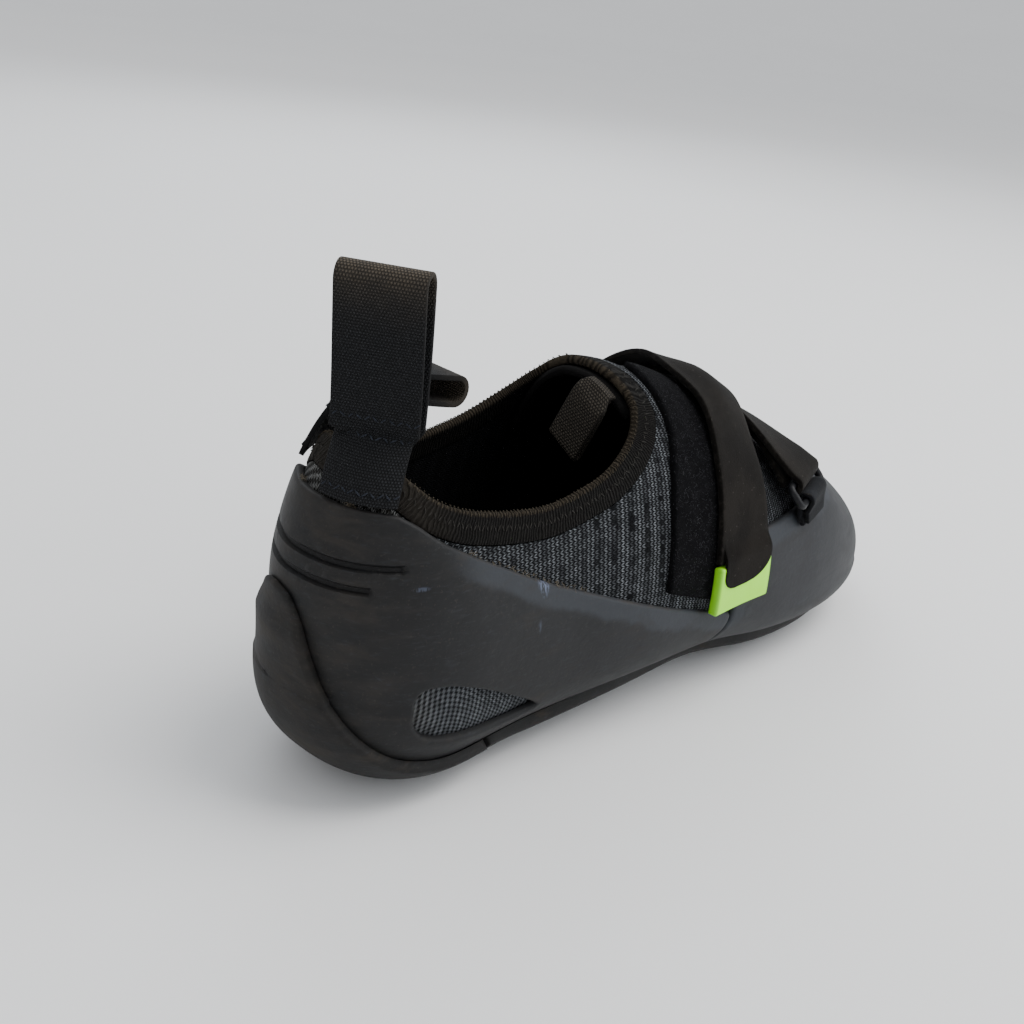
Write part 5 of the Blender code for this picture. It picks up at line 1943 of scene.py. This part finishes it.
    def tab(self) -> None:
        """Builds the tape tab that hangs from the back edge of the tongue."""
        walls, last = self.walls, self.last
        width = np.array(self.tab_across) * self.tab_width
        half = walls.webbing / 2 + walls.gap
        under = walls.tongue_top - walls.tongue / 2
        columns = np.linspace(-0.5, 0.5, 9)
        front, back = [], []
        edge = self.tongue_rear * last.length - walls.gap
        for along in np.linspace(edge, edge - self.tab_sewn, 3):
            starts = np.array([(along, self.tab_side + width[1] * c, last.ankle_height / 2) for c in columns])
            points = last.cast(starts, (0.0, 0.0, 1.0))
            front.append(last.lifted(points, under + half))
            back.append(last.lifted(points, under - half))
        foot = (front[-1] + back[-1]).mean(axis=0) / 2
        centres, widths, offs = [], [], []
        spot = foot - np.array((0, 0, self.clearance))
        steps = 16
        for step in range(1, steps + 1):
            share = step / steps
            lean = math.radians(95.0) * min(share / 0.20, 1)
            tangent = math.cos(lean) * np.array((-1.0, 0, 0)) + math.sin(lean) * np.array(self.tab_down)
            spot = spot + tangent * self.tab_drop / steps
            out = np.cross(width, tangent)
            out *= math.copysign(1.0, np.dot(out, np.array((-math.sin(lean), 0, math.cos(lean)))))
            centres.append(spot)
            widths.append(width)
            offs.append(unit(out))
        rows, fold = self.loop_rows(front, back[::-1], centres, widths, offs, half * self.tab_swell)
        tape("tongue_loop_tape", rows, walls.webbing, 0.0, self.paints.tab, ["tongue_loop"], last,
             0.3 * MM, {"fold": 0.3 * fold})

    def build(self) -> None:
        """Builds both loops and the tab."""
        self.pull_loops()
        self.tab()


@dataclass
class Fuzz(ShoePart):
    """Dusty fibres along the top of the heel rand."""

    count: int = 240

    def build(self) -> None:
        """Scatters the fibres."""
        last = self.last
        rng = np.random.default_rng(5)
        rand = last.line(self.lines.rand)
        spots, ways = [], []
        for _ in range(self.count):
            reach = rng.uniform(0, 1) ** 1.6
            x = 0.006 + reach * 0.060
            z = float(np.interp(x, rand[:, 0], rand[:, 1])) + rng.uniform(-0.2, 0.9) * MM
            start = np.array((max(x, 0.016), last.sway_at(x), z))
            way = np.array((x - 0.030 if x < 0.028 else 0.0, -0.020 if rng.uniform() < 0.75 else 0.020, 0.0))
            way = unit(way)
            if last.depth(start[None])[0] > -0.02:
                continue
            point = last.cast(start, way)
            out = last.out(point)
            spots.append(point + out * rng.uniform(-1.6, -0.7) * MM)
            ways.append(rng.normal(size=3) + out * 0.5 + np.array((0, 0, 0.6)))
        stitches("rand_edge_fibres", spots, ways, 0.75 * MM, 0.05 * MM, self.paints.dust_fibre, last)


@dataclass
class Studio:
    """Floor, soft lights and the camera at the photograph's angle."""

    azimuth: float = -49.62
    elevation: float = 23.4
    roll: float = 7.3
    distance: float = 0.3910
    focal_px: float = 1255.15
    target: tuple[float, float, float] = (-0.001253, 0.03661, 0.02773)
    frame_px: float = 1024.0
    sensor: float = 36.0
    flat_reach: float = 2.5
    sweep: float = 0.09

    def camera(self) -> None:
        """Sets up the camera."""
        a, e, roll = (math.radians(angle) for angle in (self.azimuth, self.elevation, self.roll))
        back = Vector((math.sin(a) * math.cos(e), -math.cos(a) * math.cos(e), math.sin(e)))
        right = Vector((math.cos(a), math.sin(a), 0.0))
        up = back.cross(right)
        turned = math.cos(roll) * right + math.sin(roll) * up
        upright = -math.sin(roll) * right + math.cos(roll) * up
        data = bpy.data.cameras.new("camera")
        data.sensor_width = self.sensor
        data.lens = self.focal_px / self.frame_px * self.sensor
        data.clip_start = 0.01
        data.clip_end = 200.0
        thing = bpy.data.objects.new("camera", data)
        bpy.context.scene.collection.objects.link(thing)
        place = Vector(self.target) + back * self.distance
        thing.matrix_world = Matrix.Translation(place) @ Matrix((turned, upright, back)).transposed().to_4x4()
        bpy.context.scene.camera = thing

    def light(self, name: str, place: Sequence[float], aim: Sequence[float], size: float, power: float,
              colour: Colour) -> None:
        """Adds a square soft light.

        Args:
            name: its name.
            place: where it stands.
            aim: the point that it faces.
            size: its side.
            power: its power in watts.
            colour: its colour.
        """
        data = bpy.data.lights.new(name, "AREA")
        data.size = size
        data.energy = power
        data.color = colour
        thing = bpy.data.objects.new(name, data)
        bpy.context.scene.collection.objects.link(thing)
        thing.location = place
        thing.rotation_euler = (Vector(place) - Vector(aim)).to_track_quat("Z", "Y").to_euler()

    def floor(self) -> None:
        """Lays the pale floor."""
        shape = bmesh.new()
        bmesh.ops.create_grid(shape, x_segments=60, y_segments=60, size=9.0)
        for vertex in shape.verts:
            vertex.co.z = self.sweep * max(math.hypot(vertex.co.x, vertex.co.y) - self.flat_reach, 0.0) ** 2
        mesh = bpy.data.meshes.new("floor")
        shape.to_mesh(mesh)
        shape.free()
        f = Finish("pale floor")
        cloud = f.noise(f.place(), 3.0, 2.0)
        colour = f.mix(cloud, (0.86, 0.86, 0.86), (0.90, 0.90, 0.90))
        mesh.materials.append(f.done(colour, 0.9, None, {"Specular IOR Level": 0.1}))
        thing = bpy.data.objects.new("floor", mesh)
        bpy.context.scene.collection.objects.link(thing)

    def build(self) -> None:
        """Builds the studio."""
        world = bpy.data.worlds.new("studio")
        world.use_nodes = True
        world.node_tree.nodes["Background"].inputs["Color"].default_value = (0.95, 0.97, 1.0, 1.0)
        world.node_tree.nodes["Background"].inputs["Strength"].default_value = 0.85
        bpy.context.scene.world = world
        self.floor()
        self.light("key", (0.45, -0.45, 1.15), (0.0, 0.0, 0.03), 0.9, 14.0, (1.0, 0.99, 0.97))
        self.light("fill", (0.75, -0.95, 0.45), (0.02, 0.0, 0.04), 0.7, 4.0, (0.93, 0.97, 1.0))
        self.light("rim", (0.6, 0.8, 0.8), (0.03, 0.0, 0.05), 0.7, 4.0, (0.90, 0.95, 1.0))
        self.camera()


def main() -> None:
    """Builds the studio and every piece of the shoe."""
    logging.basicConfig(level=logging.INFO, format="%(relativeCreated)6.0f ms  %(message)s")
    last, lines, walls, paints = Last(), ShoeLines(), Walls(), Materials()
    Studio().build()
    Upper(last, lines, walls, paints).build()
    RubberParts(last, lines, walls, paints).build()
    Closure(last, lines, walls, paints).build()
    Loops(last, lines, walls, paints).build()
    Fuzz(last, lines, walls, paints).build()


if __name__ == "__main__":
    main()
